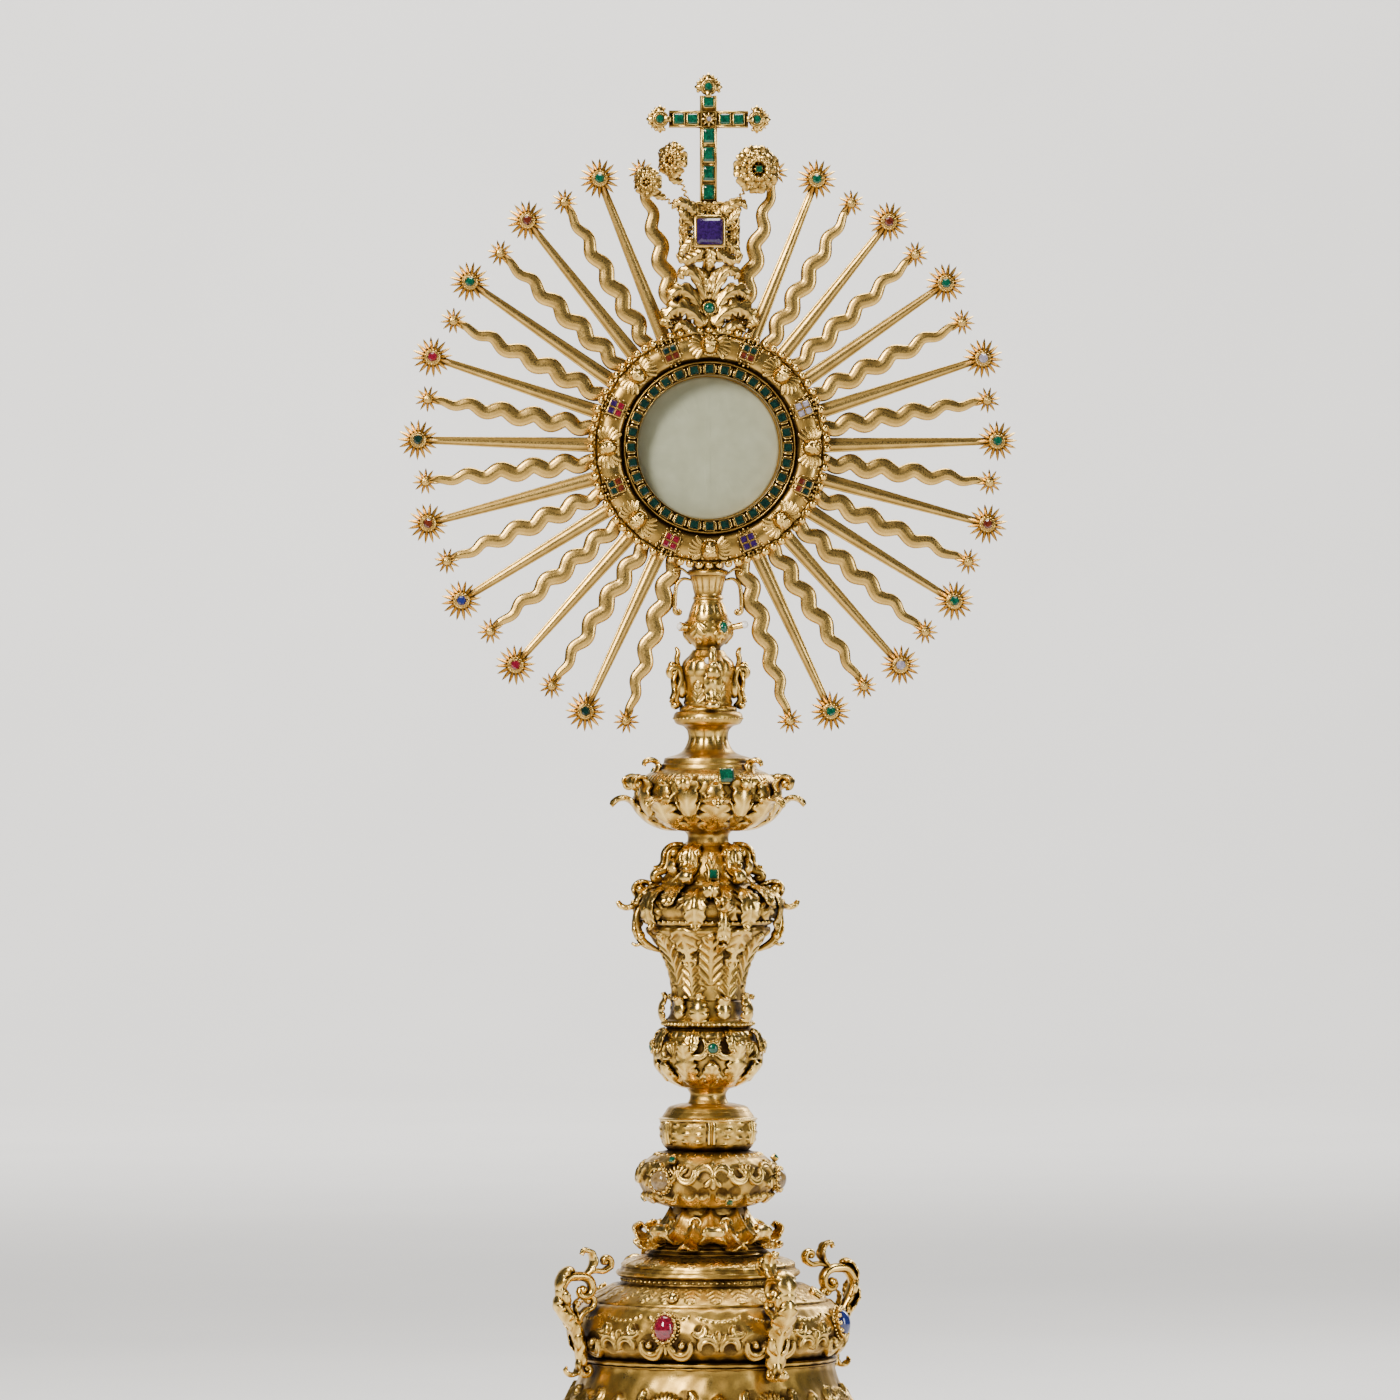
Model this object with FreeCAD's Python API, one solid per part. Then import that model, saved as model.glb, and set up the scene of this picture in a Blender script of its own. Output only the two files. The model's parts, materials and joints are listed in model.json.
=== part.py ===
"""A baroque sunburst monstrance: a turned and cast stem on a wide hollow foot, clamped by a tie rod,
and a lift-off glory with rays, a glazed host chamber, a hinged rear door and a jewelled cross.

Frame: millimetres, +Z up, origin on the floor under the middle of the foot, front towards -Y.
An azimuth is measured from the front (-Y) towards the right (+X).
"""
import FreeCAD, Part
import math
import os

V = FreeCAD.Vector
UP = V(0, 0, 1)
BACK = V(0, 1, 0)
RIGHT = V(1, 0, 0)
ORIGIN = V(0, 0, 0)

# ---- driving dimensions -------------------------------------------------------------------------
SUN_Z = 565.0            # height of the middle of the host
RAY_REACH = 151.0        # from the middle of the host to the middle of a large star
SMALL_REACH = 148.0      # the same for a small star
RAY_STEP = 8.31          # degrees from one ray to the next
TOP_RAY = 76.3           # degrees above the horizontal of the highest ray on each side
RAYS_PER_SIDE = 19
GLORY_SEAT = 486.0       # the glory's capital rests on the stem here
TANG_LENGTH = 36.0
TANG_SIDE = 6.0
BORE = 4.3               # radius of the hole through every stem piece
ROD = 4.0                # radius of the iron tie rod
WALL = 2.0               # thickness of the hollow castings
CABOCHON_SIDES = 20

# levels of the stem's joints, from the floor up
RIM_STEP = 6.0
RIM_TOP = 14.0
SHELL_TOP = 93.6
TORUS_TOP = 122.0
GEM_LEVEL = 110.8        # of the root of a foot gem's setting
GEM_ROOT = 67.0          # radius of that root
GEM_TILT = 10.0
GEM_POST = 8.0           # length of the setting
SHOULDER_TOP = 140.0
DOME_TOP = 149.5
SKIRT_TOP = 170.5
KNOP_TOP = 200.0
RING_KNOP_TOP = 224.5
BOWL_TOP = 263.6
COLLAR_TOP = 278.0
VASE_TOP = 317.0
VASE_RIM_TOP = 338.0
VOLUTE_TOP = 358.0
DISH_TOP = 398.0
NECK_TOP = 428.0
DRUM_TOP = 460.0

# radii and depths of the glory's case, measured on its own axis
CASE_BORE = 38.5
CASE_WALL = 42.0
FRONT = -4.0             # front end of the case
CASE_BACK = 13.0
LEDGE_BACK = -0.5        # back of the ledge that stops the lunette
RAY_RING_IN = 50.0
RAY_RING_OUT = 56.0
RAY_RING_BACK = 8.0
RAY_PLANE = 1.5          # depth of the middle of the rays
GLASS_RADIUS = 39.4
GLASS = 2.0
OPENING = 37.4           # radius of the window
HOST_RADIUS = 36.9
DOOR_GAP = 0.3
DOOR_FRONT = 15.3
DOOR_BACK = 18.0
DOOR_RADIUS = 43.0
HINGE_X = -47.5
HINGE_Y = 17.4
PIN = 0.8
LATCH_X = 49.5
TENON = 2.45             # radius of the tenons that hold the capital and the finial in the ray ring
SCREW_REACH = 53.0       # the rear cover's screws, from the middle of the host
SCREW = 1.0
SCREW_HEAD = 2.2

# places round the stand, in degrees of azimuth
SCROLLS = [24 + 90 * k for k in range(4)]
FOOT_GEMS = [-22 + 90 * k for k in range(4)]
CABOCHONS = [-45 + 120 * k for k in range(3)]
DISH_EMERALDS = [12, 137, 227]

parts = {}


# ---- shapes -------------------------------------------------------------------------------------
def path(outline, place):
    """Edges through an outline of points. A pair of points in it is an arc: its middle and its end."""
    edges = []
    here = place(outline[0])
    for item in outline[1:] + outline[:1]:
        if isinstance(item[0], tuple):
            end = place(item[1])
            edges.append(Part.Arc(here, place(item[0]), end).toShape())
        else:
            end = place(item)
            if here.distanceToPoint(end) > 1e-6:
                edges.append(Part.LineSegment(here, end).toShape())
        here = end
    return edges


def turned(outline):
    """A solid turned about the stem: outline points are (radius, height)."""
    face = Part.Face(Part.Wire(path(outline, lambda p: V(p[0], 0, p[1]))))
    return face.revolve(ORIGIN, UP, 360)


def spun(outline):
    """A solid turned about the glory's own axis: outline points are (radius, depth)."""
    face = Part.Face(Part.Wire(path(outline, lambda p: V(p[0], p[1], 0))))
    solid = face.revolve(ORIGIN, BACK, 360)
    solid.translate(V(0, 0, SUN_Z))
    return solid


def turned_to(shape, azimuth):
    """A copy of a shape made towards +X, carried round the stem to an azimuth."""
    copy = shape.copy()
    copy.rotate(ORIGIN, UP, azimuth - 90)
    return copy


def round_stem(shape, count, first=0.0):
    return [turned_to(shape, first + 360.0 * k / count) for k in range(count)]


def round_sun(shape, angle):
    """A copy of a shape made towards +X from the middle of the host, turned up to an angle."""
    copy = shape.copy()
    copy.rotate(ORIGIN, BACK, -angle)
    copy.translate(V(0, 0, SUN_Z))
    return copy


def facet(*corners):
    return Part.Face(Part.makePolygon(list(corners) + [corners[0]]))


def skinned(rings):
    """A closed solid of flat facets through rings of points that match one to one."""
    count = len(rings[0])
    faces = [facet(*rings[0]), facet(*rings[-1])]
    for near, far in zip(rings, rings[1:]):
        for k in range(count):
            m = (k + 1) % count
            faces.append(facet(near[k], near[m], far[m]))
            faces.append(facet(near[k], far[m], far[k]))
    solid = Part.makeSolid(Part.makeShell(faces))
    if solid.Volume < 0:
        solid = Part.makeSolid(solid.Shells[0].reversed())
    return solid


def ribbon(spine, widths, thickness):
    """A leaf or scroll strip along a spine of (radius, height), of changing width across the spine."""
    outlines = []
    last = len(spine) - 1
    for i, (r, z) in enumerate(spine):
        before, after = spine[max(i - 1, 0)], spine[min(i + 1, last)]
        along = V(after[0] - before[0], 0, after[1] - before[1]).normalize()
        normal = V(-along.z, 0, along.x) * (thickness / 2.0)
        half = widths[i] / 2.0
        middle = V(r, 0, z)
        outlines.append([
            middle + normal + V(0, half, 0),
            middle + normal - V(0, half, 0),
            middle - normal - V(0, half, 0),
            middle - normal + V(0, half, 0),
        ])
    return skinned(outlines)


def leaf_widths(count, widest, tip=0.8):
    """Widths that swell to the widest point a third of the way along, then fall to the tip."""
    widths = []
    for i in range(count):
        share = i / (count - 1.0)
        swell = math.sin(math.pi * min(1.0, 0.22 + share * 0.85))
        widths.append(max(tip, widest * swell))
    return widths


def solid_of(shape):
    """The largest solid of a shape."""
    return max(shape.Solids, key=lambda s: abs(s.Volume))


def seated(piece, *bases):
    """A piece with whatever lies inside its bases cut away, so that it sits on them."""
    for base in bases:
        piece = solid_of(piece.cut(base))
    return piece


def joined(*shapes):
    return solid_of(shapes[0].fuse(list(shapes[1:])).removeSplitter())


def cylinder(radius, length, start, direction):
    return Part.makeCylinder(radius, length, start, direction)


def outward(shape, radius, height, azimuth, tilt=0.0):
    """Places a shape made along +Z from the origin so that it points out of the stem."""
    copy = shape.copy()
    copy.rotate(ORIGIN, BACK, 90 - tilt)
    copy.translate(V(radius, 0, height))
    return turned_to(copy, azimuth)


def forward(shape, x, y, z):
    """Places a shape made along +Z from the origin so that it points to the front."""
    copy = shape.copy()
    copy.rotate(ORIGIN, RIGHT, 90)
    copy.translate(V(x, y, z))
    return copy


def cut_stone(width, height, depth, table=0.62):
    """A step-cut stone with a bevelled crown on a flat base."""
    def outline(w, h, level):
        corners = [(-1, -1), (1, -1), (1, 1), (-1, 1)]
        return [V(x * w / 2, y * h / 2, level) for x, y in corners]
    girdle = outline(width, height, 0.45 * depth)
    return joined(
        skinned([outline(width, height, 0), girdle]),
        skinned([girdle, outline(width * table, height * table, depth)]),
    )


def cabochon(radius, height):
    """A domed stone on a flat base, skinned in rings."""
    def ring(rise):
        share, level = math.cos(rise), height * math.sin(rise)
        turns = [2 * math.pi * k / CABOCHON_SIDES for k in range(CABOCHON_SIDES)]
        return [V(radius * share * math.cos(t), radius * share * math.sin(t), level) for t in turns]
    return skinned([ring(rise) for rise in (0, 0.35, 0.7, 1.05, 1.4)])


def group(name, shapes):
    parts[name] = Part.makeCompound(shapes) if isinstance(shapes, list) else shapes


# ---- foot ---------------------------------------------------------------------------------------
RIM_HOLE = 98.0
LOBES = 8


def lobed_disc(lobe_radius, cusp_radius, bottom, top):
    """A disc whose edge is eight outward arcs that meet in cusps."""
    edges = []
    step = 360.0 / LOBES

    def at(radius, degrees):
        return V(radius * math.cos(math.radians(degrees)), radius * math.sin(math.radians(degrees)), bottom)

    for k in range(LOBES):
        middle = step * k
        cusp, next_cusp = at(cusp_radius, middle - step / 2), at(cusp_radius, middle + step / 2)
        edges.append(Part.Arc(cusp, at(lobe_radius, middle), next_cusp).toShape())
    return Part.Face(Part.Wire(edges)).extrude(V(0, 0, top - bottom))


def make_foot():
    hole = cylinder(RIM_HOLE, RIM_TOP + 2, V(0, 0, -1), UP)
    steps = lobed_disc(112.0, 107.5, 0, RIM_STEP).fuse(lobed_disc(108.5, 105.0, RIM_STEP, RIM_TOP))
    group("foot_rim", solid_of(steps.removeSplitter().cut(hole)))

    plate = SHELL_TOP - 3.0
    group("foot_shell", turned([
        (104, RIM_TOP), ((86, 40), (74, 70)), ((67.5, 80), (66, 88)), (66, SHELL_TOP),
        (BORE, SHELL_TOP), (BORE, plate), (63.5, plate), (63.5, 88), ((65.3, 79.6), (71.9, 69.2)),
        ((84.2, 38.9), (101.4, RIM_TOP)),
    ]))

    floor = SHELL_TOP + WALL
    torus = turned([
        (64, SHELL_TOP), (66, SHELL_TOP + 1), ((71.5, 107.6), (64, TORUS_TOP - 1)), (62, TORUS_TOP),
        (58, TORUS_TOP), ((69, 107.6), (62, floor)), (BORE, floor), (BORE, SHELL_TOP),
    ])
    setting = cylinder(7.6, GEM_POST, ORIGIN, UP)
    settings = [outward(setting, GEM_ROOT, GEM_LEVEL, a, GEM_TILT) for a in FOOT_GEMS]
    group("foot_torus", joined(torus, *settings))

    shoulder_inner = 40.0
    group("foot_shoulder", turned([
        (62, TORUS_TOP), (61.5, 123.5), ((55, 128.8), (47, 131)), (46.2, 131), (46.2, 133.5), (44.2, 134),
        (44.2, 136.5), (46.6, 137.5), (46.6, 139), (45, SHOULDER_TOP), (shoulder_inner, SHOULDER_TOP),
        (shoulder_inner, 130), ((50, 127), (57, 124)), (58, TORUS_TOP),
    ]))
    group("foot_dome", turned([
        (45, SHOULDER_TOP), ((40, 143.8), (32, 145.5)), (31.5, 145.8), (31.5, 147.3), (29.5, 147.8),
        (29.5, DOME_TOP), (29, 151), ((22, 156), (19.6, 165)), (20.6, 169), (20.6, SKIRT_TOP),
        (BORE, SKIRT_TOP), (BORE, 147), (29, 144), ((37, 142.2), (41, SHOULDER_TOP)),
    ]))

    stem = ribbon(
        [(70.8, 90), (69.2, 86.8), (71.2, 84.2), (74.2, 87), (74, 95), (74.6, 103), (78.5, 112), (83, 120),
         (86, 129), (83, 136), (76, 139), (68, 138), (61, 137.5), (57, 141), (59.5, 145)],
        [4, 4.5, 5, 6, 7.5, 8, 8, 7.5, 7, 6.5, 6, 5.5, 5, 4.5, 4], 2.6)
    curl = ribbon(
        [(84, 128), (79, 133), (73, 133.5), (67, 129.5), (65.8, 123.5), (70, 120.8), (73.5, 123.5)],
        [4, 4.5, 4.5, 4.2, 4, 3.6, 3.2], 2.0)
    scroll = seated(joined(stem, curl), torus, parts["foot_shoulder"])
    group("foot_scrolls", [turned_to(scroll, a) for a in SCROLLS])


# ---- lower stem ---------------------------------------------------------------------------------
def make_lower_stem():
    core = parts["foot_dome"]
    spine = [(21, 168.5), (22, 161), (26.5, 155.5), (32, 153.5), (36, 156), (37, 160), (34.4, 161.6)]
    fold = seated(ribbon(spine, leaf_widths(len(spine), 11.0, 3.0), 1.4), core)
    spine = [(29, 152.4), (35, 152.2), (41, 155)]
    point = seated(ribbon(spine, [7, 5, 0.8], 1.2), core, fold)
    group("skirt_leaves", round_stem(fold, 8) + round_stem(point, 8, 22.5))

    knop = turned([
        (18, SKIRT_TOP), (24, 171.5), ((37.3, 185.2), (26, 199)), (22, KNOP_TOP), (BORE, KNOP_TOP),
        (BORE, 198), (24, 197), ((35.3, 185.2), (23.5, 173.3)), (BORE, 172.5),
        (BORE, SKIRT_TOP),
    ])
    collet = cylinder(2.6, 4.0, ORIGIN, UP)
    upper = [outward(collet, 32.0, 194.0, a + 9, 38) for a in CABOCHONS]
    lower = [outward(collet, 31.0, 177.0, a + 60, -38) for a in CABOCHONS]
    seat = cylinder(6.2, 4.0, ORIGIN, UP)
    seats = [outward(seat, 34.0, 185.2, a) for a in CABOCHONS]
    group("knop_lower", joined(knop, *(upper + lower + seats)))

    group("knop_ring", turned([
        (20, KNOP_TOP), (22, 201), ((25.3, 212), (20, 223)), (12, RING_KNOP_TOP), (BORE, RING_KNOP_TOP),
        (BORE, 222), (18, 221), ((23.3, 212), (19, 202.5)), (BORE, 202.5), (BORE, KNOP_TOP),
    ]))

    bowl = turned([
        (11, RING_KNOP_TOP), ((8.8, 228), (10.5, 231.5)), (17, 233.5), ((27, 248), (24.5, 261)),
        (22.5, BOWL_TOP), (BORE, BOWL_TOP), (BORE, 261), (22, 260), ((25, 248), (16, 235.6)), (BORE, 235),
        (BORE, RING_KNOP_TOP),
    ])
    spine = [(19, 235.6), (25.6, 239.5), (28.6, 246), (29.6, 252), (30.6, 256), (29.6, 259)]
    leaf = seated(ribbon(spine, leaf_widths(len(spine), 13.0, 2.0), 1.8), bowl)
    collet = cylinder(3.4, 5.0, ORIGIN, UP)
    bowl = joined(bowl, *[outward(collet, 23.8, 252.5, 90 * k) for k in range(4)])
    group("bowl_knop", [bowl] + round_stem(leaf, 8, 22.5))

    collar = turned([
        (21, BOWL_TOP), (23.5, 265), (23.5, 268), ((19.8, 271), (18, COLLAR_TOP)), (BORE, COLLAR_TOP),
        (BORE, BOWL_TOP),
    ])
    spine = [(21.5, 269.4), (23.2, 272), (24.6, 276), (25.2, 280), (23.6, 283)]
    leaf = seated(ribbon(spine, [6, 8, 8.5, 6, 1.5], 1.4), collar)
    group("vase_collar", [collar] + round_stem(leaf, 6, 15))


# ---- upper stem ---------------------------------------------------------------------------------
def make_upper_stem():
    vase = turned([
        (17.5, COLLAR_TOP), ((19.2, 296), (29.5, 312)), (31, 313.5), (31, VASE_TOP), (BORE, VASE_TOP),
        (BORE, 315), (27.5, 313.5), ((17.2, 296), (15.5, 280)), (BORE, 280), (BORE, COLLAR_TOP),
    ])
    group("vase_body", vase)
    rim = turned([
        (31, VASE_TOP), (33, 318), (33, 320.5), ((36.5, 326), (33, 332)), (28, 336), (26, VASE_RIM_TOP),
        (BORE, VASE_RIM_TOP), (BORE, 336), (26, 334), ((34, 326), (30, 319)), (BORE, 319), (BORE, VASE_TOP),
    ])
    group("vase_rim", rim)
    spine = [(35.4, 330), (38.6, 328.5), (40.6, 323), (40, 314), (35.5, 307.5), (29, 304), (24.5, 302.5)]
    handle = seated(ribbon(spine, [4.5, 4.5, 4, 4, 4, 4.5, 5], 2.4), vase, rim)
    group("vase_scrolls", round_stem(handle, 4, -82))
    spine = [(32.5, 332.6), (37.5, 331.2), (42, 327.6), (46, 326.6), (48.5, 330)]
    hook = seated(ribbon(spine, [9, 9, 7, 4, 1.2], 1.6), rim, handle)
    spine = [(31.5, 334.5), (36.4, 334.4), (40.4, 337), (41, 340.4), (38.4, 341.6)]
    curl = seated(ribbon(spine, [7, 8, 6.5, 4.5, 2.5], 1.6), rim)
    group("rim_leaves", round_stem(hook, 4, -82) + round_stem(curl, 4, -60))

    dome = turned([
        (24, VASE_RIM_TOP), ((23, 350), (17, 356.5)), (13, VOLUTE_TOP), (BORE, VOLUTE_TOP), (BORE, 355),
        (15, 354.5), ((20.5, 349), (21.5, 340)), (BORE, 340), (BORE, VASE_RIM_TOP),
    ])
    spine = [(17.5, 357), (22, 355.6), (25, 351.5), (25.6, 346), (27.5, 341.5), (31, 341), (31.6, 344.2)]
    volute = seated(ribbon(spine, [3, 3.6, 4, 4.4, 4.6, 4.4, 4], 2.2), dome, rim)
    dome = joined(dome, outward(cylinder(3.0, 5.0, ORIGIN, UP), 20.5, 343.5, 2, 10))
    group("volute_dome", [dome] + round_stem(volute, 6, 32))

    dish = turned([
        (12, VOLUTE_TOP), ((10.3, 363), (13.5, 367.5)), (20, 369), ((36.5, 384), (27, 397)), (26, DISH_TOP),
        (BORE, DISH_TOP), (BORE, 395.5), (25, 395), ((34, 384), (19, 371.3)), (BORE, 370.5),
        (BORE, VOLUTE_TOP),
    ])
    settings = [outward(cylinder(4.4, 6.0, ORIGIN, UP), 28.5, 392.5, a, 35) for a in DISH_EMERALDS]
    group("dish_knop", joined(dish, *settings))
    spine = [(24.5, 369.4), (31.6, 372.4), (37.4, 377.4), (42.4, 382.4), (47, 385), (51, 383)]
    lower = seated(ribbon(spine, [9, 12, 11, 7, 4, 1.2], 1.6), dish)
    spine = [(36.2, 376.5), (38, 383), (37.4, 390), (36.8, 395.5), (39, 400), (42.4, 400.6), (43, 397.8)]
    upper = seated(ribbon(spine, [10, 12, 10, 7, 6, 5, 3.5], 1.5), dish)
    group("dish_leaves", round_stem(lower, 8, -88) + round_stem(upper, 8, -65.5))

    group("neck_upper", turned([
        (26, DISH_TOP), (24.5, 399), (24.5, 401), (22.6, 401.6), (22.6, 403.8), (20, 404.6),
        ((11, 408.5), (9.4, 414)), ((11, 420.5), (16, 424)), (18, 425), (18, NECK_TOP), (BORE, NECK_TOP),
        (BORE, DISH_TOP),
    ]))

    tang_floor = GLORY_SEAT - TANG_LENGTH - 1.0
    slot_side = TANG_SIDE + 0.4
    corner = V(-slot_side / 2, -slot_side / 2, tang_floor)
    slot = Part.makeBox(slot_side, slot_side, TANG_LENGTH + 2, corner)
    drum = turned([
        (15, NECK_TOP), (15, 430), (13, 431), ((11.6, 438), (13.4, 446)), ((13, 453.5), (9, 458)),
        (8, DRUM_TOP),
        (0, DRUM_TOP), (0, 436), (ROD, 436), (ROD, NECK_TOP),
    ])
    drum = joined(drum, outward(cylinder(2.8, 5.0, ORIGIN, UP), 9.2, 453.8, -4, 25))
    group("bracket_drum", solid_of(drum.cut(slot)))
    spine = [(15.5, 431.2), (17.6, 434), (16, 439), (14.8, 445), (16.5, 450.5), (19.6, 448),
             (19.8, 453), (17, 457), (17.6, 460.5)]
    widths = [6, 6.5, 6, 6, 7, 6.5, 6, 4.5, 3]
    figure = seated(ribbon(spine, widths, 2.6), drum, parts["neck_upper"])
    group("bracket_figures", round_stem(figure, 4, -86))

    pear = turned([
        (6.6, DRUM_TOP), (7, 462), ((13.6, 468.5), (10.5, 477)), ((8.2, 481), (7.4, GLORY_SEAT)),
        (0, GLORY_SEAT), (0, DRUM_TOP),
    ])
    arms = [
        outward(cylinder(3.6, 5.2, ORIGIN, UP), 9.5, 471.0, 28, 8),
        outward(cylinder(2.0, 7.2, ORIGIN, UP), 9.0, 471.0, -64, 8),
        outward(cylinder(1.4, 9.6, ORIGIN, UP), 9.0, 471.0, 80, 12),
    ]
    group("pear_knop", solid_of(joined(pear, *arms).cut(slot)))


def on_face(stone, radius, height, azimuth, tilt, reach):
    """A stone on the flat end of a collet that starts at radius and height and is reach long."""
    lean = math.radians(tilt)
    return outward(stone, radius + reach * math.cos(lean), height + reach * math.sin(lean), azimuth, tilt)


def make_stand_stones():
    big = cabochon(6.8, 4.0)
    group("foot_gems", [on_face(big, GEM_ROOT, GEM_LEVEL, a, GEM_TILT, GEM_POST) for a in FOOT_GEMS])
    group("knop_cabochons", [outward(cabochon(5.6, 4.0), 38.0, 185.2, a) for a in CABOCHONS])
    small = cut_stone(3.0, 3.0, 1.6)
    stones = [on_face(small, 32.0, 194.0, a + 9, 38, 4.0) for a in CABOCHONS]
    stones += [on_face(small, 31.0, 177.0, a + 60, -38, 4.0) for a in CABOCHONS]
    stones += [on_face(cabochon(2.7, 1.8), 23.8, 252.5, 90 * k, 0, 5.0) for k in range(4)]
    stones += [on_face(cut_stone(4.2, 3.6, 1.6), 20.5, 343.5, 2, 10, 5.0)]
    stones += [on_face(cut_stone(5.6, 7.2, 2.2), 28.5, 392.5, a, 35, 6.0) for a in DISH_EMERALDS]
    stones += [on_face(cut_stone(5.4, 3.8, 2.0), 9.5, 471.0, 28, 8, 5.2)]
    group("stem_emeralds", stones)
    group("pearls", [
        on_face(cabochon(2.0, 2.4), 9.2, 453.8, -4, 25, 5.0),
        on_face(cabochon(1.8, 2.8), 9.0, 471.0, -64, 8, 7.2),
        on_face(cabochon(1.3, 2.6), 9.0, 471.0, 80, 12, 9.6),
    ])


def make_tie_rod():
    rod_top = 434.0
    plate = SHELL_TOP - 3.0
    washer = plate - 2.0
    nut_bottom = washer - 7.0
    rod_bottom = nut_bottom - 6.0
    group("tie_rod", cylinder(ROD, rod_top - rod_bottom, V(0, 0, rod_bottom), UP))
    hole = cylinder(BORE, 4.0, V(0, 0, washer - 1), UP)
    group("tie_washer", cylinder(14.0, 2.0, V(0, 0, washer), UP).cut(hole))
    sixths = [math.radians(60 * k) for k in range(6)]
    corners = [V(8.0 * math.cos(a), 8.0 * math.sin(a), nut_bottom) for a in sixths]
    blank = Part.Face(Part.makePolygon(corners + corners[:1])).extrude(V(0, 0, 7.0))
    group("tie_nut", blank.cut(cylinder(ROD, 9.0, V(0, 0, nut_bottom - 1), UP)))


# ---- the glory's case ---------------------------------------------------------------------------
RING_OUT = 60.0
CHERUB_RADIUS = 52.8
TENON_Y = 2.0
SCREW_SEAT = 12.2        # depth of the seat under a screw's head
SCREW_ANGLES = [45 + 90 * k for k in range(4)]


def ray_angles():
    """Angles above the horizontal of the rays on the right, from the top down."""
    return [TOP_RAY - RAY_STEP * i for i in range(RAYS_PER_SIDE)]


def screw_shank():
    """The shank of a rear cover screw, made towards +X."""
    return cylinder(SCREW, SCREW_SEAT - 4.0, V(SCREW_REACH, 4.0, 0), BACK)


def make_case():
    ring = spun([
        (RAY_RING_IN, FRONT), (RAY_RING_OUT, FRONT), (RAY_RING_OUT, RAY_RING_BACK),
        (RAY_RING_IN, RAY_RING_BACK),
    ])
    drill = cylinder(1.55, 12.0, V(RAY_RING_IN - 3, RAY_PLANE, 0), RIGHT)
    holes = [round_sun(drill, a) for angle in ray_angles() for a in (angle, 180 - angle)]
    socket = cylinder(TENON, 20.0, V(RAY_RING_IN - 3, TENON_Y, 0), RIGHT)
    holes += [round_sun(socket, 90), round_sun(socket, -90)]
    holes += [round_sun(screw_shank(), a) for a in SCREW_ANGLES]
    group("ray_ring", solid_of(ring.cut(Part.makeCompound(holes))))

    front = spun([
        (45, FRONT), (RING_OUT, FRONT), (RING_OUT, -6.2), ((53, -12.6), (45.6, -9.4)), (45, -7.6),
    ])
    bead = Part.makeSphere(1.7, V(RING_OUT + 1.0, -5.6, 0))
    bead.translate(V(0, 0, SUN_Z))
    bead = seated(bead, front)
    bead.translate(V(0, 0, -SUN_Z))
    beads = 72
    group("bead_border", [round_sun(bead, 360.0 * (k + 0.5) / beads) for k in range(beads)])

    plaque = Part.makeBox(7.6, 4.0, 7.6, V(CHERUB_RADIUS - 3.8, -14.4, -3.8))
    plaque.translate(V(0, 0, SUN_Z))
    plaque = seated(plaque, front)
    plaque.translate(V(0, 0, -SUN_Z))
    cluster_angles = [22.5 + 45 * k for k in range(8)]
    group("ring_front", joined(front, *[round_sun(plaque, a) for a in cluster_angles]))
    stone = cut_stone(3.0, 3.0, 1.2)
    stones = []
    for dx in (-1.75, 1.75):
        for dz in (-1.75, 1.75):
            one = forward(stone, CHERUB_RADIUS + dx, -14.4, dz)
            stones += [round_sun(one, a) for a in cluster_angles]
    group("cluster_stones", stones)

    head = Part.makeSphere(3.8, V(CHERUB_RADIUS, -12.6, 0))
    wing = cylinder(2.6, 3.6, V(CHERUB_RADIUS, -13.2, 5.2), BACK)
    other = cylinder(2.6, 3.6, V(CHERUB_RADIUS, -13.2, -5.2), BACK)
    bust = joined(head, wing, other)
    bust.translate(V(0, 0, SUN_Z))
    bust = seated(bust, front)
    bust.translate(V(0, 0, -SUN_Z))
    group("cherub_heads", [round_sun(bust, 45 * k) for k in range(8)])

    seat = FRONT - GLASS
    group("bezel", spun([
        (45, FRONT), (GLASS_RADIUS + 0.1, FRONT), (GLASS_RADIUS + 0.1, seat), (OPENING, seat),
        (OPENING, -12.4),
        (37.8, -13), (38.2, -11.8), (43.4, -11.8), (43.8, -12.8), (44.6, -11.8), (45, -7.6),
    ]))
    stone = forward(cut_stone(4.4, 4.4, 2.0), 40.8, -11.8, 0)
    bezel_stones = 32
    group("bezel_stones", [round_sun(stone, 360.0 * k / bezel_stones) for k in range(bezel_stones)])
    group("front_glass", spun([(0, seat), (GLASS_RADIUS, seat), (GLASS_RADIUS, FRONT), (0, FRONT)]))
    group("case_tube", spun([
        (OPENING, FRONT), (CASE_WALL, FRONT), (CASE_WALL, CASE_BACK), (CASE_BORE, CASE_BACK),
        (CASE_BORE, LEDGE_BACK), (OPENING, LEDGE_BACK),
    ]))

    seat_radius = HOST_RADIUS + 0.1
    holder_radius = CASE_BORE - DOOR_GAP
    group("host_holder", spun([
        (seat_radius, LEDGE_BACK + 0.3), (holder_radius, LEDGE_BACK + 0.3), (holder_radius, 4), (34.5, 4),
        (34.5, 2.4), (seat_radius, 2.4),
    ]))
    group("host", spun([(0, 1.2), (HOST_RADIUS, 1.2), (HOST_RADIUS, 2.4), (0, 2.4)]))


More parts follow.
